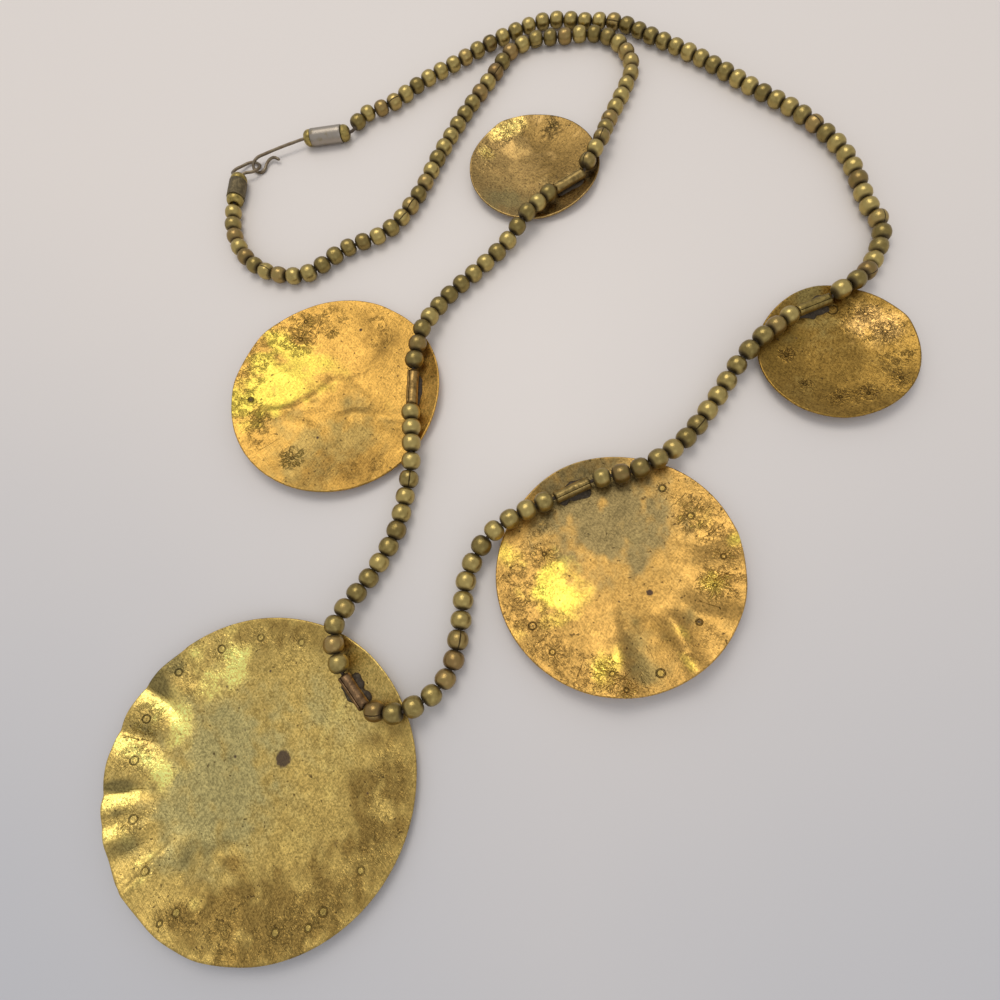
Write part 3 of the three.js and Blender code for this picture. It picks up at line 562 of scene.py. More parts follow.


# The discs

# Where each disc is stained, heat-coloured or struck, with painted highlights and painted shade standing
# in for how the lamp's light falls on it; the brown stain marks are partly real stain and partly painted
# shade. Every mark is [degrees round from the bail, share of the radius, size in mm, amount], and a fifth
# number stretches it along the radius. A crease is [degrees, share, degrees, share, rise in mm, width in
# mm]. A stamp is [degrees, share, ring radius in mm, reach of its strokes in mm, their strength, how far
# its middle stands up]. Folds given here take the place of the ones above, which are the imported solid's.
discLooks = {
    "pendant_large": {
        "seed": 3, "around": 560, "rings": 112, "dents": 0.05, "rough": 0.36,
        "tone": (0.49, 0.345, 0.099), "green": (0.39, 0.33, 0.134),
        "stain": (0.20, 0.124, 0.032), "highlightTone": (0.93, 0.72, 0.2),
        "folds": [
            flute(97, 0.09, 0.76, 0.08), flute(115, 0.11, 0.73, 0.085), flute(134, 0.11, 0.72, 0.09),
            flute(150, 0.07, 0.78, 0.06), flute(161, 0.06, 0.78, 0.06), flute(178, 0.09, 0.72),
            flute(105.5, -0.1, 0.76, 0.05), flute(122, -0.1, 0.74, 0.055), flute(144.5, -0.1, 0.75, 0.055),
            flute(155, -0.06, 0.8, 0.045), flute(168, -0.09, 0.74, 0.08), flute(190, -0.07, 0.7),
            flute(200, 0.06, 0.6, 0.1), flute(214, 0.1, 0.56, 0.1), flute(228, -0.07, 0.7, 0.12),
            flute(252, 0.05, 0.75, 0.12), flute(88, -0.06, 0.8, 0.06),
        ],
        "olive": [
            [104, 0.42, 13, 0.5], [135, 0.42, 13, 0.6], [165, 0.45, 12, 0.6], [150, 0.1, 13, 0.6],
            [75, 0.45, 11, 0.5], [215, 0.25, 10, 0.3], [350, 0.6, 10, 0.5], [15, 0.62, 9, 0.5],
            [180, 0.62, 9, 0.4],
        ],
        "grime_and_shade": [
            [317, 0.9, 10, 0.8], [292, 0.92, 9, 0.8], [265, 0.93, 9, 0.8], [238, 0.9, 11, 1.1],
            [216, 0.85, 9, 0.9], [250, 0.72, 10, 0.7], [205, 0.72, 7, 0.5], [280, 0.75, 8, 0.5],
            [330, 0.8, 6, 0.4], [62, 0.9, 6, 0.7], [48, 0.92, 6, 0.8], [32, 0.92, 6, 0.8],
            [304, 0.72, 6, 0.6], [318, 0.6, 5, 0.5], [54, 0.45, 4, 0.5], [196, 0.9, 6, 0.6],
            [225, 0.62, 6, 0.6], [341, 0.92, 6, 0.5],
        ],
        "shade": [
            [102.5, 0.95, 2.1, 2.0, 2.8], [93, 0.95, 2.4, 1.1, 1.4], [99, 1.0, 2.2, 1.2, 1.6],
            [119, 0.86, 1.8, 1.2, 3.4], [142, 0.92, 1.9, 2.0, 2.6], [152, 0.9, 1.2, 1.2, 2.4],
            [165, 0.9, 4, 1.1, 1.6], [91, 0.97, 2.4, 0.8, 1.5], [81, 1.0, 1.8, 1.0, 1.4],
            [184, 0.62, 3, 0.8], [186, 0.54, 3.4, 0.9], [195, 0.46, 3.4, 0.7], [207, 0.42, 3, 0.5],
            [66, 0.99, 1.6, 0.6],
        ],
        "heat": [
            [31, 0.17, 1.2, 1.1], [12, 0.26, 1.2, 0.9], [12, 0.94, 5, 0.9], [350, 0.95, 5, 0.8],
            [357, 0.86, 5, 0.6], [320, 0.97, 6, 0.5], [45, 0.95, 4, 0.5], [290, 0.98, 5, 0.4],
            [54, 0.42, 3, 0.4],
        ],
        "struck": [
            [82, 0.88, 6, 1.0], [90, 0.78, 5, 0.9], [74, 0.8, 4, 0.8], [115, 0.85, 6, 1.2],
            [132, 0.84, 6, 1.0], [156, 0.85, 6, 0.8], [176, 0.82, 5, 0.5], [200, 0.84, 6, 0.8],
            [222, 0.86, 7, 0.9], [245, 0.86, 7, 1.0], [268, 0.88, 7, 1.0], [290, 0.86, 6, 0.8],
            [312, 0.84, 6, 1.1], [325, 0.84, 5, 0.8], [300, 0.8, 5, 0.6], [60, 0.9, 5, 0.7],
            [45, 0.8, 5, 0.6], [36, 0.74, 4, 0.6], [343, 0.9, 5, 0.4],
        ],
        "painted_highlight": [
            [67, 0.8, 4, 1.2], [71, 0.68, 4.5, 1.4], [84, 0.93, 3, 0.9], [87, 0.72, 4.5, 0.9],
            [111, 0.66, 4.5, 1.4], [106, 0.8, 3.2, 1.3], [108, 0.95, 2.6, 1.0, 1.5], [136, 0.64, 4.5, 1.4],
            [127, 0.94, 3, 1.2, 1.6], [130, 0.8, 3, 0.8], [147, 0.9, 2.8, 1.3, 1.8],
            [158, 0.94, 2.5, 0.9, 1.4], [163, 0.87, 2, 0.8], [174, 0.8, 1.5, 0.9, 2.8],
            [180, 0.88, 1.3, 0.8, 2.8], [205, 0.76, 2, 0.7], [67, 0.97, 2.6, 0.6], [330, 0.45, 9, 0.3],
            [262, 0.42, 10, 0.3], [0, 0.62, 5, 0.4],
        ],
        "creases": [
            [105.5, 0.8, 105.5, 1.05, -0.25, 1.0], [122, 0.78, 122.5, 1.05, -0.25, 1.0],
            [144.5, 0.78, 145, 1.05, -0.25, 1.0], [172, 0.68, 177, 0.98, -0.3, 0.9],
            [176, 0.72, 180, 0.98, 0.25, 0.9], [206, 0.52, 209, 0.78, -0.25, 1.4],
            [203, 0.5, 205, 0.8, 0.2, 1.2], [213, 0.6, 216, 0.92, 0.2, 1.8],
            [186, 0.66, 190, 0.5, 0.2, 1.8], [226, 0.66, 229, 0.95, -0.15, 1.4],
            [86, 0.8, 84, 1.05, 0.2, 1.4],
        ],
        "stamps": [
            [73, 0.87, 1.05, 4.6, 0.9, 0.1], [93, 0.9, 0.95, 3.4, 0.6, 0.2], [115, 0.87, 1.1, 5.5, 1.2, 0],
            [132, 0.84, 1.1, 5.2, 1.1, 0.1], [156, 0.82, 1.1, 4.4, 1.0, 0.4],
            [178, 0.83, 1.05, 2.6, 0.6, 0.5], [200, 0.84, 1.05, 2.8, 0.6, 1.0],
            [55, 0.87, 0.95, 2.6, 0.5, 0.6], [36, 0.85, 0.95, 3.4, 0.4, 1.0],
            [283, 0.85, 0.95, 2.2, 0.3, 1.0], [263, 0.86, 1.05, 2.6, 0.4, 0.9],
            [256, 0.89, 0.9, 2.4, 0.4, 1.0], [243, 0.85, 1.0, 2.6, 0.5, 0.9],
            [197, 0.93, 0.7, 2.2, 0.4, 0.5],
        ],
        "blots": [
            [1, 0.17, 2.3, 1.2], [50, 0.65, 0.6, 0.7], [106, 0.23, 0.7, 0.7], [112, 0.25, 0.5, 0.6],
            [53, 0.41, 0.5, 0.6], [76, 0.32, 0.5, 0.6], [225, 0.29, 0.5, 0.6], [291, 0.55, 0.4, 0.6],
            [284, 0.63, 1.1, 0.5], [312, 0.7, 0.6, 0.6], [77, 0.63, 0.6, 0.7], [147, 0.35, 0.6, 0.5],
            [42, 0.57, 1.0, 0.42], [48, 0.56, 0.9, 0.42], [41, 0.67, 0.5, 0.6],
        ],
    },
    "pendant_medium_right": {
        "seed": 11, "around": 460, "rings": 92, "dents": 0.06, "rough": 0.38,
        "tone": (0.44, 0.26, 0.069), "green": (0.175, 0.137, 0.06),
        "stain": (0.23, 0.13, 0.029), "highlightTone": (0.84, 0.63, 0.10),
        "folds": [
            flute(150, 0.14, 0.62, 0.1), flute(168, -0.15, 0.5, 0.17),
            {"at": 198, "out": 0.55, "toAt": 188, "toOut": 1.05, "rise": 0.16, "width": 0.09},
            flute(212, -0.16, 0.62, 0.12), flute(228, 0.12, 0.65, 0.1), flute(243, -0.1, 0.7, 0.1),
            flute(260, 0.12, 0.72, 0.1), flute(98, 0.08, 0.7, 0.14),
        ],
        "olive": [
            [303, 0.34, 9, 0.6], [332, 0.45, 11, 0.7], [347, 0.8, 13, 0.8], [2, 0.5, 11, 0.6],
            [315, 0.78, 10, 0.4], [12, 0.88, 9, 0.5], [285, 0.5, 8, 0.3], [340, 0.15, 9, 0.3],
            [30, 0.6, 8, 0.3],
        ],
        "grime_and_shade": [
            [154, 0.75, 7, 0.4], [195, 0.82, 7, 0.5], [180, 0.6, 6, 0.5], [240, 0.9, 6, 0.4],
            [120, 0.93, 5, 0.4], [40, 0.9, 5, 0.5], [225, 0.9, 6, 0.5], [200, 0.35, 7, 0.3],
        ],
        "shade": [
            [164, 0.66, 6, 1.0, 1.8], [170, 0.86, 5, 0.7], [210, 0.66, 3, 1.0], [214, 0.92, 2.4, 0.6],
            [304, 0.3, 3.4, 0.6], [3, 0.6, 3.5, 0.5], [250, 0.6, 2.2, 0.6], [95, 0.84, 3, 0.4],
        ],
        "heat": [
            [60, 0.95, 5, 0.5], [30, 0.85, 5, 0.4], [275, 0.75, 8, 0.3], [225, 0.65, 7, 0.3],
            [140, 0.4, 9, 0.35], [265, 0.5, 7, 0.25],
        ],
        "struck": [
            [65, 0.86, 5, 0.9], [76, 0.76, 5, 0.9], [84, 0.88, 5, 1.0], [98, 0.74, 5, 0.9],
            [110, 0.85, 5, 1.0], [126, 0.86, 5, 0.9], [142, 0.86, 5, 1.1], [154, 0.93, 4, 0.9],
            [272, 0.82, 6, 1.0], [286, 0.85, 5, 0.7], [254, 0.83, 5, 1.1], [240, 0.8, 5, 1.1],
            [228, 0.87, 4, 0.8], [205, 0.85, 4, 0.6], [192, 0.86, 3.5, 0.6], [26, 0.71, 4, 0.5],
            [46, 0.73, 5, 0.7], [172, 0.7, 4, 0.4],
        ],
        "painted_highlight": [
            [90, 0.5, 6, 1.2], [77, 0.57, 4.5, 1.1], [66, 0.6, 4.5, 0.8], [53, 0.93, 3.5, 0.9],
            [55, 0.44, 4, 0.4], [142, 0.8, 3, 1.0, 1.8], [152, 0.7, 1.8, 0.6, 2.6],
            [187, 0.88, 1.5, 0.8, 2.6], [196, 0.7, 1.5, 0.6, 2], [234, 0.74, 3, 0.9],
            [257, 0.96, 2.0, 1.0, 1.4], [272, 0.8, 4, 0.4], [95, 0.95, 3, 0.4],
        ],
        "creases": [
            [145, 0.32, 155, 0.86, 0.28, 1.8], [199, 0.6, 187, 0.96, 0.32, 1.7],
            [201, 0.55, 212, 0.6, 0.2, 1.6], [213, 0.66, 219, 1.0, -0.25, 1.8],
            [259, 0.7, 259, 1.02, 0.25, 1.3], [232, 0.7, 236, 0.96, 0.2, 1.5],
            [166, 0.5, 172, 0.96, -0.2, 2.6],
        ],
        "stamps": [
            [304, 0.81, 0.95, 2.2, 0.4, 0.5], [280, 0.76, 0.95, 5.2, 0.9, 0.6],
            [96, 0.82, 1.05, 2.4, 0.9, 0.1], [173, 0.86, 1.05, 2.0, 0.6, 0.5],
            [148, 0.82, 0.7, 5.6, 1.2, 0.4], [209, 0.74, 0.8, 1.5, 0.6, 0.1],
            [233, 0.76, 0.5, 6.0, 1.1, 0.3], [250, 0.84, 0.7, 4.0, 0.8, 0.3],
            [48, 0.62, 0.5, 5.0, 0.6, 0.2], [114, 0.84, 0.8, 3.4, 0.6, 0.3],
            [155, 0.94, 0.6, 3.4, 0.8, 0.2],
        ],
        "blots": [
            [209, 0.3, 1.1, 1.0], [209, 0.74, 0.8, 0.7], [153, 0.24, 0.5, 0.7], [96, 0.82, 0.7, 0.6],
            [345, 0.5, 0.4, 0.6], [358, 0.6, 0.4, 0.6], [60, 0.78, 0.5, 0.6],
        ],
    },
    "pendant_medium_left": {
        "seed": 23, "around": 460, "rings": 92, "dents": 0.05, "rough": 0.4,
        "tone": (0.45, 0.262, 0.06), "green": (0.27, 0.19, 0.06),
        "stain": (0.23, 0.13, 0.03), "highlightTone": (0.46, 0.355, 0.058),
        "olive": [
            [242, 0.55, 7, 0.9], [296, 0.55, 8, 1.1], [262, 0.85, 9, 0.8], [240, 0.8, 7, 0.6],
            [270, 0.6, 9, 0.6],
        ],
        "grime_and_shade": [
            [53, 0.62, 6, 0.8], [54, 0.78, 5, 0.6], [274, 0.72, 7, 0.7], [257, 0.85, 7, 0.6],
            [295, 0.86, 7, 0.6], [307, 0.82, 6, 0.6], [283, 0.92, 6, 0.6], [236, 0.82, 5, 0.5],
            [212, 0.9, 5, 0.5], [75, 0.85, 6, 0.6], [95, 0.9, 5, 0.5], [30, 0.75, 5, 0.4],
            [205, 0.6, 4, 0.4], [330, 0.85, 6, 0.4],
        ],
        "shade": [
            [325, 0.14, 4.4, 0.9], [338, 0.32, 4.4, 0.7], [318, 0.44, 2.4, 0.6], [330, 0.62, 2.2, 0.7, 1.8],
            [207, 0.62, 2.4, 0.8, 2.4], [208, 0.4, 3, 0.7], [200, 0.22, 3.4, 0.6],
        ],
        "heat": [
            [3, 0.62, 2.4, 1.6], [352, 0.64, 2.2, 1.2], [14, 0.68, 2.2, 1.0], [2, 0.86, 3.4, 1.8],
            [344, 0.94, 4, 1.2], [147, 0.47, 3, 0.7, 1.6], [166, 0.64, 3, 0.6], [221, 0.95, 4, 0.8],
            [165, 0.94, 3, 0.7], [141, 0.95, 3, 0.7], [111, 0.9, 5, 0.5], [85, 0.6, 7, 0.35],
            [240, 0.95, 5, 0.4],
        ],
        "struck": [
            [125, 0.73, 4.5, 1.4], [116, 0.88, 4.5, 1.2], [102, 0.74, 4, 0.8], [202, 0.76, 4, 1.1],
            [156, 0.95, 5, 1.0], [146, 0.88, 6, 1.0], [172, 0.9, 6, 1.0], [190, 0.9, 5, 0.9],
            [133, 0.86, 5, 1.1], [66, 0.88, 5, 0.7], [54, 0.7, 5, 0.7], [215, 0.85, 5, 0.6],
            [275, 0.8, 6, 0.6], [300, 0.84, 5, 0.6], [95, 0.88, 4, 0.7], [20, 0.6, 4, 0.4],
        ],
        "painted_highlight": [
            [140, 0.6, 7, 1.3], [180, 0.74, 7, 1.3], [188, 0.94, 4, 1.3], [136, 0.9, 4.5, 0.9],
            [178, 0.52, 5.5, 1.2], [113, 0.38, 5, 0.7], [158, 0.78, 6, 1.1], [200, 0.9, 4, 0.7],
            [160, 0.3, 6, 0.6], [85, 0.2, 4, 0.3], [345, 0.5, 3, 0.3],
        ],
        "creases": [
            [195, 0.74, 198, 0.47, 0.3, 1.5], [198, 0.47, 184, 0.24, 0.32, 1.8],
            [184, 0.24, 122, 0.16, 0.3, 2.0], [122, 0.16, 46, 0.21, 0.25, 2.2],
            [46, 0.21, 4, 0.33, 0.2, 2.0], [307, 0.31, 336, 0.74, -0.28, 1.3],
            [310, 0.08, 335, 0.3, -0.35, 3.4], [205, 0.62, 225, 0.4, -0.3, 2.2],
        ],
        "stamps": [
            [184, 0.82, 0.8, 1.2, 0.8, 0], [242, 0.74, 0.4, 4.8, 1.5, 0], [125, 0.73, 0.6, 4.4, 1.5, 0],
            [116, 0.87, 0.5, 3.6, 1.1, 0.2], [100, 0.69, 0.4, 3.0, 0.9, 0.3],
            [202, 0.75, 0.6, 4.2, 1.1, 0.2],
        ],
        "blots": [
            [184, 0.82, 0.8, 0.9], [251, 0.46, 0.6, 0.8], [320, 0.59, 0.5, 0.6], [102, 0.41, 0.5, 0.6],
            [97, 0.40, 0.4, 0.6], [76, 0.71, 0.7, 0.8], [185, 0.39, 0.4, 0.6], [39, 0.48, 0.4, 0.6],
            [86, 0.91, 0.5, 0.6],
        ],
    },
    "pendant_small_right": {
        "seed": 31, "around": 340, "rings": 68, "dents": 0.04, "rough": 0.32,
        "tone": (0.24, 0.142, 0.031), "green": (0.24, 0.18, 0.058),
        "stain": (0.19, 0.115, 0.024), "highlightTone": (0.62, 0.38, 0.12),
        "olive": [
            [356, 0.96, 6, 1.0], [8, 0.88, 6, 0.7], [3, 0.49, 5, 0.6], [358, 0.27, 5, 0.4],
            [120, 0.7, 6, 0.3],
        ],
        "grime_and_shade": [
            [63, 0.8, 5, 0.9], [43, 0.52, 4, 0.8], [79, 0.84, 4, 0.7], [94, 0.83, 4, 0.4],
            [150, 0.9, 5, 0.4], [28, 0.75, 4, 0.6],
        ],
        "shade": [[50, 0.62, 3, 0.6], [75, 0.95, 2.4, 0.5]],
        "heat": [
            [299, 0.92, 5, 1.0], [285, 0.85, 6, 0.9], [267, 0.82, 5, 0.7], [240, 0.93, 4, 0.9],
            [204, 0.92, 3, 1.0], [312, 0.93, 4, 0.8], [285, 0.55, 5, 0.7], [225, 0.95, 4, 0.6],
        ],
        "struck": [
            [303, 0.73, 4.5, 1.3], [275, 0.68, 4.5, 1.3], [290, 0.55, 4, 1.0], [72, 0.62, 3, 1.0],
            [117, 0.63, 3.2, 0.9], [187, 0.7, 3.4, 1.2], [159, 0.66, 3.2, 1.1], [218, 0.84, 3.4, 1.0],
            [243, 0.84, 4, 0.8], [232, 0.68, 3.4, 0.8], [152, 0.75, 3, 0.8], [330, 0.6, 3, 0.6],
        ],
        "painted_highlight": [
            [300, 0.76, 4, 0.8], [277, 0.66, 4.5, 0.9], [290, 0.6, 4, 0.7], [268, 0.8, 3, 0.5],
            [312, 0.45, 4, 0.5],
        ],
        "creases": [
            [218, 0.72, 220, 0.95, 0.12, 0.7], [270, 0.55, 276, 1.0, 0.15, 1.8],
            [292, 0.5, 296, 0.95, -0.12, 1.6],
        ],
        "stamps": [
            [303, 0.71, 0.6, 3.6, 1.1, 0.3], [273, 0.67, 0.6, 4.0, 1.2, 0.3],
            [338, 0.66, 1.5, 0.1, 0.8, 0.1], [72, 0.62, 0.4, 3.0, 1.0, 0.3],
            [117, 0.63, 0.4, 2.6, 0.8, 0.3], [187, 0.7, 0.4, 3.2, 1.1, 0.3],
            [159, 0.65, 0.4, 2.8, 0.9, 0.3], [218, 0.84, 0.4, 2.6, 0.7, 0.3],
        ],
        "blots": [[43, 0.53, 0.7, 0.5], [352, 0.5, 0.4, 0.5]],
    },
    "pendant_small_left": {
        "seed": 43, "around": 340, "rings": 68, "dents": 0.025, "rough": 0.31,
        "tone": (0.265, 0.172, 0.06), "green": (0.23, 0.178, 0.07),
        "stain": (0.135, 0.084, 0.025), "highlightTone": (0.78, 0.55, 0.16),
        "olive": [[270, 0.7, 5, 0.9], [282, 0.73, 4, 0.7], [342, 0.35, 4, 0.4], [258, 0.85, 5, 0.6]],
        "grime_and_shade": [
            [105, 0.75, 7, 1.0], [95, 0.87, 6, 0.9], [60, 0.55, 9, 0.9], [75, 0.8, 8, 0.9],
            [35, 0.75, 8, 0.9], [45, 0.95, 8, 0.8], [10, 0.4, 7, 0.5], [0, 0, 8, 0.3], [122, 0.74, 6, 1.0],
            [104, 0.55, 7, 0.7],
        ],
        "shade": [],
        "heat": [
            [5, 0.93, 4, 1.0], [350, 0.93, 4, 0.7], [162, 0.96, 3, 0.5], [130, 0.9, 3, 0.4],
            [150, 0.75, 3, 0.4],
        ],
        "struck": [
            [152, 0.84, 3.6, 1.3], [168, 0.85, 3.6, 1.2], [193, 0.82, 3.6, 1.3], [107, 0.85, 4, 0.9],
            [104, 0.7, 3, 0.7], [240, 0.8, 4, 0.4], [275, 0.8, 3.4, 0.6], [213, 0.82, 3, 0.6],
        ],
        "painted_highlight": [
            [150, 0.86, 3.2, 1.2], [162, 0.83, 3, 1.3], [170, 0.9, 2.6, 1.2], [194, 0.78, 2.4, 1.1],
            [192, 0.86, 2, 0.8], [140, 0.93, 2.4, 1.0], [107, 0.84, 2.4, 0.3],
        ],
        "creases": [[158, 0.6, 160, 0.95, 0.15, 1.4]],
        "stamps": [
            [158, 0.82, 0.5, 3.4, 1.2, 0.3], [194, 0.8, 0.5, 3.0, 1.1, 0.3],
            [107, 0.82, 0.6, 3.0, 0.7, 0.3], [140, 0.9, 0.4, 2.6, 0.8, 0.3],
        ],
        "blots": [
            [167, 0.84, 0.5, 0.8], [190, 0.76, 0.4, 0.8], [251, 0.74, 0.4, 0.7], [273, 0.78, 0.4, 0.6],
            [134, 0.85, 0.4, 0.6], [37, 0.22, 0.4, 0.5],
        ],
    },
}
# The marks painted on each disc, in order: olive film, brown stain that is partly painted shade, painted
# shade, heat colour, where it was struck, painted highlight, dark blots.
painted = ("olive", "grime_and_shade", "shade", "heat", "struck", "painted_highlight", "blots")


# Soft marks added up: amount · exp(-(distance / size)²), each edge made uneven by two scales of waves.
def marks(spots, radius, x, y, seed):
    uneven = 0.22 * ripple(x, y, 9, seed) + 0.12 * ripple(x, y, 3.5, seed + 1)
    total = np.zeros_like(x)
    for at, out, size, amount, *stretch in spots:
        bearing = ahead(at)
        along = (x * bearing[0] + y * bearing[1] - out * radius) / (stretch or [1])[0]
        across = y * bearing[0] - x * bearing[1]
        total += amount * np.exp(-((np.hypot(along, across) / (size * (1 + min(1, size / 5) * uneven))) ** 2))
    return total


# Each point's offset from the nearest stamp, turned so that x points outwards, with that stamp's sizes.
def stampPlaces(stamps, radius, x, y):
    table = np.array(stamps, float)
    bearing = ahead(table[:, 0])
    offX = x[:, None] - (bearing[:, 0] * table[:, 1] * radius)[None]
    offY = y[:, None] - (bearing[:, 1] * table[:, 1] * radius)[None]
    nearest = np.argmin(np.hypot(offX, offY), axis=1)
    pick = np.arange(len(x)), nearest
    bx, by = bearing[nearest].T
    along = offX[pick] * bx + offY[pick] * by
    across = offY[pick] * bx - offX[pick] * by
    sizes = table[nearest]
    return np.column_stack([along, across, sizes[:, 2]]), sizes[:, 3:6]


# Grain sizes and heights in millimetres, and the colours that every disc shares.
brassLooks = {
    "cloud": 12, "mottle": 3.0, "speckle": 0.65, "tooth": 0.3, "pit": 1.2,
    "heatTone": (0.50, 0.20, 0.05), "shadeTone": (0.14, 0.115, 0.045), "blotTone": (0.06, 0.032, 0.024),
    "pitTone": (0.07, 0.045, 0.02),
    "strokeHeight": 0.15, "rayHeight": 0.3, "grooveDepth": 0.22, "domeHeight": 0.16, "rays": 12,
}


# Hammered sheet brass: mottled yellow under an olive film and a brown stain that is partly painted shade,
# heat colours, painted highlights and painted shade, dark pits and blots, chisel strokes where it was
# struck, and ringed stamps with strokes round them, all sanded over with a fine speckle. The strokes and
# the rings' grooves are darkened with painted shade, and the stamps' raised middles and rays are lightened
# with painted highlight. Height = strokes + rays + ring + grain.
def hammeredBrass(name, looks):
    def paint(start):
        place = millimetres(start)
        olive, grime_and_shade, shade, heat, struck, painted_highlight, blots = (attribute(start, n, 2) for n in painted)
        own = brassLooks
        cloud = grain(place, own["cloud"], 4, 0.6)
        mottle = grain(place, own["mottle"], 5, 0.65)
        sand = grain(place, own["speckle"], 3, 0.7)
        fine = grain(place, own["tooth"], 2, 0.6)
        uneven = (cloud - 0.5) * 1.2 + (mottle - 0.5) * 1.3 + (sand - 0.5) * 0.9
        tone = looks["tone"]
        colour = blendColours(rise(mottle, 0.35, 0.65), [0.88 * c for c in tone], [1.12 * c for c in tone])
        # The films in turn: olive patina, brown stain that is partly painted shade, heat colour, painted
        # highlight, painted shade.
        for film, ragged, low, high, cover, stain in (
            (olive, 1.0, 0.0, 1.3, 0.9, looks["green"]), (grime_and_shade, 1.0, 0.1, 1.3, 0.85, looks["stain"]),
            (heat, 0.7, 0.2, 1.4, 0.9, own["heatTone"]), (painted_highlight, 0.5, 0.1, 1.4, 0.95, looks["highlightTone"]),
            (shade, 0.5, 0.2, 1.4, 0.8, own["shadeTone"]),
        ):
            colour = blendColours(rise(film + uneven * ragged, low, high) * cover, colour, stain)
        scratched = (grain(millimetres(start, (6, 0.3, 1), 0.5), 1.0, 2)
                     + grain(millimetres(start, (0.3, 5, 1), 0.9), 1.0, 2)) * 0.5
        colour = scaled(colour, 0.38 + rise(sand * 0.7 + scratched * 0.3, 0.39, 0.61) * 0.76 + scratched)
        dark = rise(blots + (sand - 0.5) * 0.9, 0.36, 0.62)
        colour = blendColours(dark * 0.9, colour, own["blotTone"])
        pits = rise(grain(place, own["pit"], 2, 0.5), 0.68, 0.73)
        colour = blendColours(pits * 0.75, colour, own["pitTone"])

        x, y, ring = parts(attribute(start, "stampPlace", 1))
        reach, strength, dome = parts(attribute(start, "stampSizes", 1))
        out = (x * x + y * y) ** 0.5
        wobble = grain(place, 1.5, 2)
        groove = 1 - rise(abs(out - ring), 0.06, 0.3)
        inside = 1 - rise(out, ring * 0.6, ring)
        turn = start.math("ARCTAN2", y, x)
        spokes = start.math("COSINE", turn * own["rays"] + 18 * wobble) * 0.5 + 0.5
        patchy = rise(grain(place, 2.6, 2), 0.4, 0.54)
        band = rise(out, ring * 1.2, ring * 1.9) * (1 - rise(out, reach * 0.6, reach))
        rays = spokes * spokes * band * patchy * strength
        broken = rise(grain(place, 2.1, 2), 0.4, 0.6)
        strokes = creases(place, 1.9, 0.1, 2, 1.4) * 0.5 + creases(place, 3.3, 0.08, 2, 1.8) * 0.8
        strokes = strokes * broken * rise(struck, 0.1, 0.9)
        height = strokes * own["strokeHeight"] + rays * own["rayHeight"] - groove * own["grooveDepth"]
        height = height + inside * dome * own["domeHeight"] + mottle * 0.08 + sand * 0.07 + fine * 0.012
        height = height + scratched * 0.05 - pits * 0.05
        # Painted shade: the chisel strokes and the stamps' ring grooves are darkened.
        colour = scaled(colour, 1.0 - rise(strokes, 0.15, 0.7) * 0.1 - groove * (0.7 - dome * 0.4))
        # Painted highlight: the raised middles of the stamps and their rays are lightened towards the
        # highlight colour.
        colour = blendColours(inside * dome * 0.3, colour, looks["highlightTone"])
        colour = blendColours(rise(rays, 0.3, 0.9) * 0.25, colour, looks["highlightTone"])
        roughness = looks["rough"] + (sand - 0.5) * 0.3 - painted_highlight * 0.03 + dark * 0.2
        return {"Base Color": colour, "Roughness": roughness, "Metallic": 1 - dark * 0.5, "Height": height}

    return metal(name, paint)


# A disc about its centre. Rings run out over the face, round the edge on a half circle of the sheet's
# thickness, and back under: z = underside + the place across the sheet + dents + creases.
def makeDisc(name):
    pendant, looks = pendants[name], discLooks[name]
    radius, thick = pendant["diameter"] / 2, lay["sheet"]
    halfThick = thick / 2
    over = (np.arange(looks["rings"]) + 0.5) / looks["rings"] * (radius - halfThick)
    edge = np.radians(np.linspace(90, -90, 7))
    under = np.linspace(radius - halfThick, 1, 26)[1:]
    out = np.concatenate([over, radius - halfThick + halfThick * np.cos(edge), under])
    rim = halfThick + halfThick * np.sin(edge)
    across = np.concatenate([np.full(len(over), thick), rim, np.zeros(len(under))])
    turn = np.linspace(0, 360, looks["around"], endpoint=False)
    oval = 0.004 * np.cos(np.radians(2 * turn + 40 * looks["seed"]))
    uneven = 1 + oval + 0.002 * np.cos(np.radians(5 * turn))
    x = out[:, None] * uneven[None] * ahead(turn)[None, :, 0]
    y = out[:, None] * uneven[None] * ahead(turn)[None, :, 1]
    calm = np.minimum(1, (out[:, None] / radius / 0.35)) ** 2
    beaten = ripple(x, y, 13, looks["seed"]) + 0.5 * ripple(x, y, 6, looks["seed"] + 5)
    dents = looks["dents"] * calm * beaten
    for at, inner, toAt, outer, height, width in looks["creases"]:
        fold = {"at": at, "out": inner, "toAt": toAt, "toOut": outer, "rise": height, "width": width / radius}
        dents = dents + foldRise(fold, radius, x, y)
    folded = {**pendant, "folds": looks.get("folds", pendant["folds"])}
    z = np.maximum(underside(folded, x, y) + dents, 0) + across[:, None]
    points = skinPoints(np.stack([x, y, z], axis=-1))
    flatX, flatY = points[:, 0], points[:, 1]
    paints = {
        key: marks(looks[key], radius, flatX, flatY, looks["seed"] + 20 * k)
        for k, key in enumerate(painted)
    }
    paints["stampPlace"], paints["stampSizes"] = stampPlaces(looks["stamps"], radius, flatX, flatY)
    material = hammeredBrass(name.replace("pendant", "brass"), looks)
    disc = makePiece(name + "_disc", laidOut(pendant, points), skinFaces(len(out), len(turn)), material,
                     paints)
    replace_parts(disc, name)


for pendantName in pendants:
    makeDisc(pendantName)
print("discs made")


# The bails and their solder

bailLooks = {
    "overlap": 0.22, "wall": 0.42, "seamAt": 62, "solderTone": (0.05, 0.034, 0.018), "solderRough": 0.6,
}


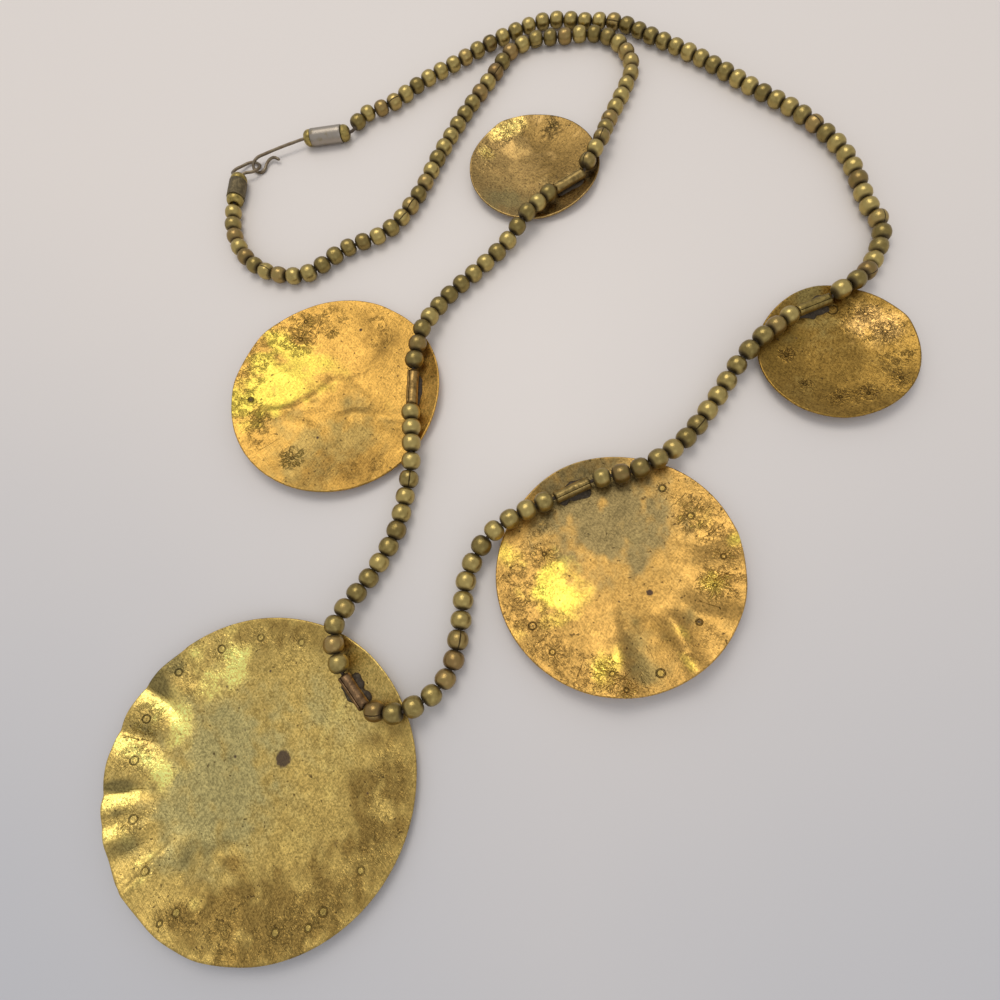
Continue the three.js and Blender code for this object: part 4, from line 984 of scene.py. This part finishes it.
# A patch of solder: half its width and its height in millimetres, how deep its edge is scalloped, which way
# it leans.
def patch(wide, deep, scallop, lean, seed, tubeTone):
    return {"wide": wide, "deep": deep, "scallop": scallop, "lean": lean, "seed": seed, "tone": tubeTone}


solderPatches = {
    "pendant_large": patch(3.1, 1.3, 0.55, 0.2, 5, (0.20, 0.12, 0.058)),
    "pendant_medium_right": patch(2.8, 1.2, 0.6, -0.3, 8, (0.27, 0.19, 0.065)),
    "pendant_medium_left": patch(2.6, 1.0, 0.3, 0.1, 2, (0.32, 0.20, 0.065)),
    "pendant_small_right": patch(2.9, 1.2, 0.55, -0.3, 9, (0.28, 0.20, 0.06)),
    "pendant_small_left": patch(2.5, 1.0, 0.3, 0.2, 4, (0.33, 0.23, 0.08)),
}


# Brass of one tone, darker and rougher in blotches.
def agedTube(name, tone):
    def paint(start):
        place = millimetres(start)
        mottle = grain(place, 1.6, 4)
        speckle = grain(place, 0.35, 3)
        dull = rise(mottle + 0.3 * speckle, 0.5, 0.85)
        colour = blendColours(dull, [1.25 * c for c in tone], [0.6 * c for c in tone])
        height = mottle * 0.05 + speckle * 0.02
        return {"Base Color": colour, "Roughness": 0.33 + dull * 0.2, "Metallic": 0.92, "Height": height}

    return metal(name, paint)


# Dark, lumpy solder, browner in patches.
def burntSolder(start):
    place = millimetres(start)
    lumps = grain(place, 0.9, 4)
    colour = blendColours(rise(lumps, 0.45, 0.75), bailLooks["solderTone"], (0.11, 0.085, 0.05))
    rough = bailLooks["solderRough"]
    return {"Base Color": colour, "Roughness": rough, "Metallic": 0.3, "Height": lumps * 0.25}


# A strip rolled into a tube: seen from its end a spiral whose radius grows by the overlap in one turn, so
# that its outer edge is a ridge along the tube. The loop of points goes out along the outside and back
# along the inside.
def makeBail(name):
    pendant, own = pendants[name], solderPatches[name]
    turn = np.linspace(0, 1, 49)
    outer = lay["bailDiameter"] / 2 - bailLooks["overlap"] + bailLooks["overlap"] * turn
    radii = np.concatenate([outer, outer[::-1] - bailLooks["wall"]])
    angles = np.radians(bailLooks["seamAt"] + 360 * np.concatenate([turn, turn[::-1]]) * 0.985)
    along = np.linspace(-0.5, 0.5, 15)
    length = pendant["bail"] * (along[:, None] + 0 * radii[None])
    wear = 1 + 0.012 * np.cos(9 * along[:, None] + 3 * angles[None])
    y = radii[None] * wear * np.cos(angles)[None]
    z = radii[None] * wear * np.sin(angles)[None] + bailHeight(pendant)
    heading, side = ahead(pendant["heading"]), ahead(pendant["heading"] + 90)
    plan = length[..., None] * heading + y[..., None] * side + np.array([pendant["x"], pendant["y"]])
    rows = np.concatenate([plan, z[..., None]], axis=-1) + shift
    loop = rows.shape[1]
    quads, _ = skinFaces(len(along), loop)
    strip = np.arange(loop // 2 - 1)
    first = np.stack([strip, strip + 1, loop - 2 - strip, loop - 1 - strip], axis=-1)
    last = first[:, ::-1] + loop * (len(along) - 1)
    material = agedTube(name.replace("pendant", "tube"), own["tone"])
    faces = np.concatenate([quads, first[:, ::-1], last[:, ::-1]])
    makePiece(name + "_bail", rows.reshape(-1, 3), [faces], material)


# A patch of burnt solder under the bail: an outline that swells and shrinks round it, domed by (1 -
# share²)^0.7 and following the disc under it.
def makeSolder(name, material):
    pendant, own = pendants[name], solderPatches[name]
    turn = np.linspace(0, 2 * np.pi, 120, endpoint=False)
    rng = np.random.default_rng(own["seed"])
    phases = rng.random(4) * 2 * np.pi
    scallops = sum(np.cos((5 + 3 * k) * turn + phases[k]) / (1 + k) for k in range(4)) / 2
    long = (pendant["bail"] / 2 - 0.2) * (1 + 0.02 * scallops)
    wide = own["wide"] * (1 + own["scallop"] * 0.45 * scallops + own["lean"] * np.cos(turn))
    square = (np.abs(np.cos(turn)) ** 4 + np.abs(np.sin(turn)) ** 4) ** -0.25
    share = np.linspace(1.0, 0.02, 12)[:, None]
    s = share * (long * np.cos(turn) * square)[None]
    t = share * (wide * np.sin(turn) * square)[None]
    reach = bailReach(pendant)
    rad = np.radians(pendant["turn"])
    x = reach - (s * np.cos(rad) + t * np.sin(rad))
    y = s * np.sin(rad) - t * np.cos(rad)
    top = underside(pendant, x, y) + lay["sheet"]
    z = top - 0.12 + own["deep"] * (1 - share**2) ** 0.7
    low = np.stack([x[0], y[0], top[0] - 0.5], axis=-1)[None]
    rows = np.concatenate([low, np.stack([x, y, z], axis=-1)])
    points = laidOut(pendant, skinPoints(rows))
    makePiece(name + "_solder", points, skinFaces(len(rows), len(turn)), material)


solderMetal = metal("burntSolder", burntSolder)
for pendantName in pendants:
    makeBail(pendantName)
    makeSolder(pendantName, solderMetal)
print("bails and solder made")


# The string

beadLooks = {
    "seed": 12, "around": 18, "halfLength": 2.7, "sizeSpread": 0.05, "lengthSpread": 0.07,
    "olive": (0.24, 0.178, 0.058), "yellow": (0.48, 0.365, 0.125), "copper": (0.30, 0.175, 0.07),
    "dark": (0.045, 0.03, 0.015),
    "profile": [
        [-0.95, 0.24], [-1.0, 0.38], [-0.93, 0.56], [-0.76, 0.77], [-0.48, 0.93], [-0.17, 0.995],
        [0.17, 0.995], [0.48, 0.93], [0.76, 0.77], [0.93, 0.56], [1.0, 0.38], [0.95, 0.24],
    ],
    "threadDiameter": 1.1,
}


# Olive to yellow brass, coppery on some beads, with painted shade darkening the ends where the beads meet,
# and on some beads a dark slit on top.
def beadBrass(start):
    place = millimetres(start)
    tint, roll, _ = parts(attribute(start, "beadTone", 1))
    along, across, up = parts(attribute(start, "beadPlace", 1))
    mottle = grain(place, 1.5, 4)
    speckle = grain(place, 0.4, 3)
    colour = blendColours(rise(mottle * 0.6 + tint * 0.5, 0.3, 0.8), beadLooks["olive"], beadLooks["yellow"])
    colour = blendColours(rise(roll + mottle * 0.5, 0.95, 1.3) * 0.7, colour, beadLooks["copper"])
    slit = (1 - rise(abs(across), 0.03, 0.09)) * rise(up, 0.2, 0.5) * rise(roll, 0.72, 0.73)
    # Painted shade: each bead darkens towards its ends, where it meets its neighbours.
    end = rise(abs(along), 0.66, 0.95)
    colour = blendColours(slit * 0.9, colour, beadLooks["dark"])
    colour = blendColours(end * 0.75, colour, beadLooks["dark"])
    roughness = 0.2 + mottle * 0.14 + speckle * 0.08 + end * 0.25
    height = mottle * 0.12 + speckle * 0.03 - slit * 0.15
    return {"Base Color": colour, "Roughness": roughness, "Metallic": 0.94 - end * 0.3, "Height": height}


# Dark brown thread.
def waxedThread(start):
    place = millimetres(start)
    ply = grain(place, 0.5, 2)
    colour = blendColours(ply, (0.05, 0.035, 0.025), (0.10, 0.07, 0.04))
    return {"Base Color": colour, "Roughness": 0.8, "Height": ply * 0.1}


# Unit frames along a path: the way on, the side of it, and up across both.
def framesAlong(path):
    way = np.gradient(path, axis=0)
    way /= np.linalg.norm(way, axis=1)[:, None]
    side = np.cross(way, [0.0, 0.0, 1.0])
    side /= np.linalg.norm(side, axis=1)[:, None]
    return way, side, np.cross(side, way)


# Beads as one piece: each is the profile turned round its own axis, point = centre + axis · along + radius
# · (side cos + up sin), with its own size, length and roll.
def makeBeads(name, stretches, material, seed):
    rng = np.random.default_rng(seed)
    frames = [(centres, *framesAlong(centres)) for centres in stretches]
    centre, way, side, up = (np.concatenate(column) for column in zip(*frames))
    count, around = len(centre), beadLooks["around"]
    profile = np.array(beadLooks["profile"])
    size = lay["beadDiameter"] / 2 * (1 - beadLooks["sizeSpread"] * rng.random(count))
    length = beadLooks["halfLength"] * (1 - beadLooks["lengthSpread"] * rng.random(count))
    lean = 0.05 * (rng.random((count, 2)) - 0.5)
    way = way + side * lean[:, :1] + up * lean[:, 1:]
    roll = 2 * np.pi * rng.random(count)
    angle = np.linspace(0, 2 * np.pi, around, endpoint=False)
    turned = angle[None] + roll[:, None]
    ray = side[:, None] * np.cos(turned)[..., None] + up[:, None] * np.sin(turned)[..., None]
    along = profile[None, :, None, 0, None] * length[:, None, None, None] * way[:, None, None]
    radial = profile[None, :, None, 1, None] * size[:, None, None, None] * ray[:, None]
    rows = centre[:, None, None] + along + radial + shift
    middles = rows[:, [0, -1]].mean(axis=2)
    points = np.concatenate([rows.reshape(count, -1, 3), middles], axis=1).reshape(-1, 3)
    ends = np.zeros((2, 3))
    ends[:, 0] = [-1, 1]
    own = np.broadcast_arrays(profile[:, None, 0], np.sin(angle)[None], np.cos(angle)[None])
    own = np.stack(own, axis=-1)
    own = np.concatenate([own.reshape(-1, 3), ends])
    tones = np.repeat(rng.random((count, 3)), len(own), axis=0)
    paints = {"beadPlace": np.tile(own, (count, 1)), "beadTone": tones}
    return makePiece(name, points, skinFaces(len(profile), around, count), material, paints)


# A round bar along a path: point = path + radius · (side cos + up sin), with its ends drawn in.
def makeBar(name, path, diameter, material, around=12, spread=0.0):
    way, side, up = framesAlong(path)
    places = np.linspace(0, 1, len(path))
    radius = diameter / 2 * (1 + spread * np.cos(17 * places) * np.cos(41 * places + 1))
    caps = np.minimum(1, np.minimum(np.arange(len(path)), np.arange(len(path))[::-1]) / 2 + 0.55)
    angle = np.linspace(0, 2 * np.pi, around, endpoint=False)
    ray = side[:, None] * np.cos(angle)[None, :, None] + up[:, None] * np.sin(angle)[None, :, None]
    rows = path[:, None] + (radius * caps)[:, None, None] * ray + shift
    return makePiece(name, skinPoints(rows), skinFaces(len(path), around), material)


# The two halves of the string meet in the middle of the large pendant's bail.
def makeString():
    ends = {name: bailEnds(pendant) for name, pendant in pendants.items()}
    order = list(pendants)
    large = (ends["pendant_large"][0] + ends["pendant_large"][1]) / 2
    hookWay = barrelEnds(hookBarrel)
    eyeWay = barrelEnds(eyeBarrel)
    turnPoint = hookWay[1] + np.array([threadTurn["x"], threadTurn["y"], 0])
    starts = [turnPoint] + [ends[name][1] for name in order]
    stops = [ends[name][0] for name in order] + [eyeWay[1]]
    stretches = [beadCentres(a, points, b) for a, points, b in zip(starts, route, stops)]
    beadMetal = metal("beadBrass", beadBrass)
    thread = metal("waxedThread", waxedThread)
    meet = large + np.array([*ahead(pendants["pendant_large"]["heading"]), 0]) * 0.15
    before = large - (meet - large)
    inHook = hookWay[1] - hookWay[2] * lay["wireSink"]
    inEye = eyeWay[1] - eyeWay[2] * lay["wireSink"]
    bails = [ends[name] for name in order]
    right = [
        [inHook, hookWay[1], turnPoint], stretches[0], bails[0], stretches[1], bails[1], stretches[2],
        [bails[2][0], before],
    ]
    left = [
        [meet, bails[2][1]], stretches[3], bails[3], stretches[4], bails[4], stretches[5],
        [eyeWay[1], inEye],
    ]
    for half, beads, line, seed in (("right", stretches[:3], right, 1), ("left", stretches[3:], left, 2)):
        strung = makeBeads(f"bead_string_{half}_beads", beads, beadMetal, beadLooks["seed"] + seed)
        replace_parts(strung, f"bead_string_{half}")
        path = curveThrough(np.concatenate([np.array(part) for part in line]), 2)
        makeBar(f"bead_string_{half}_thread", path, beadLooks["threadDiameter"], thread, 8)


makeString()
print("string made")


# The clasp

claspLooks = {
    "barrelRadius": 3.0, "waistRadius": 2.4, "dome": 2.7, "sleeveRadius": 3.2, "sleeveWall": 0.45,
    "brass": (0.37, 0.28, 0.085), "nickel": (0.38, 0.335, 0.28), "dull": (0.12, 0.095, 0.05),
    "wire": (0.23, 0.185, 0.125), "bevel": 0.12,
    "wireDiameter": 1.1, "hookBore": 0.9, "eyeBore": 1.55,
}


# A turned piece: a closed profile of [along, radius] carried round the barrel's axis.
def makeTurned(name, profile, barrel, material, around=48):
    clasp, _, way = barrelEnds(barrel)
    profile = np.array(profile)
    side, up = np.array([-way[1], way[0], 0]), np.array([0.0, 0.0, 1.0])
    angle = np.linspace(0, 2 * np.pi, around, endpoint=False)
    ray = side[None] * np.cos(angle)[:, None] + up[None] * np.sin(angle)[:, None]
    rows = clasp + profile[:, 0, None, None] * way + profile[:, 1, None, None] * ray[None] + shift
    count = len(profile)
    index = np.arange(count * around).reshape(count, around)
    down, onward = np.roll(index, -1, axis=0), np.roll(index, -1, axis=1)
    both = np.roll(down, -1, axis=1)
    quads = np.stack([index, onward, both, down], axis=-1).reshape(-1, 4)
    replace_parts(makePiece(name, rows.reshape(-1, 3), [quads], material), name.rsplit("_", 1)[0])


# A spool with domed ends and a turned line behind each dome.
def barrelProfile(length, bore):
    c = claspLooks
    turn = np.radians(np.linspace(12, 90, 9))
    dome = [[c["dome"] * 0.8 * (1 - np.cos(a)), bore + (c["barrelRadius"] - bore) * np.sin(a)] for a in turn]
    rim = [[c["dome"] - 0.25, c["barrelRadius"]], [c["dome"] - 0.12, c["barrelRadius"] - 0.12],
           [c["dome"], c["barrelRadius"] - 0.05], [c["dome"] + 0.05, c["waistRadius"]]]
    half = [[0.15, bore], [0.0, bore + 0.2], *dome, *rim]
    return half + [[length - a, r] for a, r in half[::-1]]


# The section of a sleeve between the barrel's domes: a flat band with its two outer edges bevelled.
def sleeveProfile(length):
    c = claspLooks
    start, end = c["dome"] + 0.3, length - c["dome"] - 0.3
    outer, inner, low = c["sleeveRadius"], c["sleeveRadius"] - c["sleeveWall"], c["sleeveRadius"] - c["bevel"]
    skin = [[a, outer] for a in np.linspace(start + c["bevel"], end - c["bevel"], 9)]
    return [[start, inner], [start, low], *skin, [end, low], [end, inner]]


# Grey metal with a fine frosting, worn through to brown in patches.
def frostedNickel(start):
    place = millimetres(start)
    frost = grain(place, 0.28, 3)
    worn = rise(grain(place, 2.4, 3), 0.52, 0.72)
    colour = blendColours(worn * 0.6, claspLooks["nickel"], (0.30, 0.24, 0.13))
    return {"Base Color": colour, "Roughness": 0.3 + frost * 0.14, "Metallic": 1.0, "Height": frost * 0.06}


# Dull brown metal with lines across the grain.
def dullBrown(start):
    place = millimetres(start)
    mottle = grain(place, 1.2, 4)
    lines = grain(millimetres(start, (2.6, 0.25, 1)), 1.0, 2)
    colour = blendColours(rise(mottle, 0.4, 0.75), claspLooks["dull"], (0.26, 0.20, 0.10))
    height = lines * 0.25 + mottle * 0.1
    return {"Base Color": colour, "Roughness": 0.42 + mottle * 0.2, "Metallic": 0.8, "Height": height}


# Grey-brown wire, darker in patches.
def greyWire(start):
    place = millimetres(start)
    mottle = grain(place, 1.4, 4)
    colour = blendColours(rise(mottle, 0.42, 0.7), claspLooks["wire"], (0.17, 0.12, 0.075))
    return {"Base Color": colour, "Roughness": 0.3 + mottle * 0.2, "Metallic": 0.95, "Height": mottle * 0.08}


def makeClasp():
    c = claspLooks
    domes = agedTube("barrelBrass", c["brass"])
    wire = metal("greyWire", greyWire)
    for end, barrel in (("hook", hookBarrel), ("eye", eyeBarrel)):
        profile = barrelProfile(barrel["length"], c[end + "Bore"])
        makeTurned(end + "_barrel_spool", profile, barrel, domes)
    for end, barrel, sheath, slot in (
        ("hook", hookBarrel, metal("frostedNickel", frostedNickel), "nickel"),
        ("eye", eyeBarrel, metal("dullBrown", dullBrown), "dull_metal"),
    ):
        makeTurned(end + "_sleeve_wrap", sleeveProfile(barrel["length"]), barrel, sheath)
    clasp, _, way = barrelEnds(hookBarrel)
    path = evenly(curveThrough([clasp + way * lay["wireSink"], clasp, *np.array(hookRoute)], 12),
                  lambda full: np.linspace(0, full, 90))
    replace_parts(makeBar("hook_wire", path, c["wireDiameter"], wire, 14, 0.04), "hook")
    clasp, _, way = barrelEnds(eyeBarrel)
    side = np.cross([0, 0, 1], way)
    offset = (c["wireDiameter"] + lay["clearance"]) / 2

    def leg(along, across):
        return clasp + way * along + side * across * offset

    near = [leg(lay["wireSink"], -1), leg(-lay["clearance"], -1)]
    farther = [leg(-lay["clearance"], 1), leg(lay["wireSink"], 1)]
    path = evenly(curveThrough([*near, *np.array(eyeRoute), *farther], 12),
                  lambda full: np.linspace(0, full, 80))
    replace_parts(makeBar("eye_wire", path, c["wireDiameter"], wire, 14, 0.04), "eye")


makeClasp()
print("clasp made")
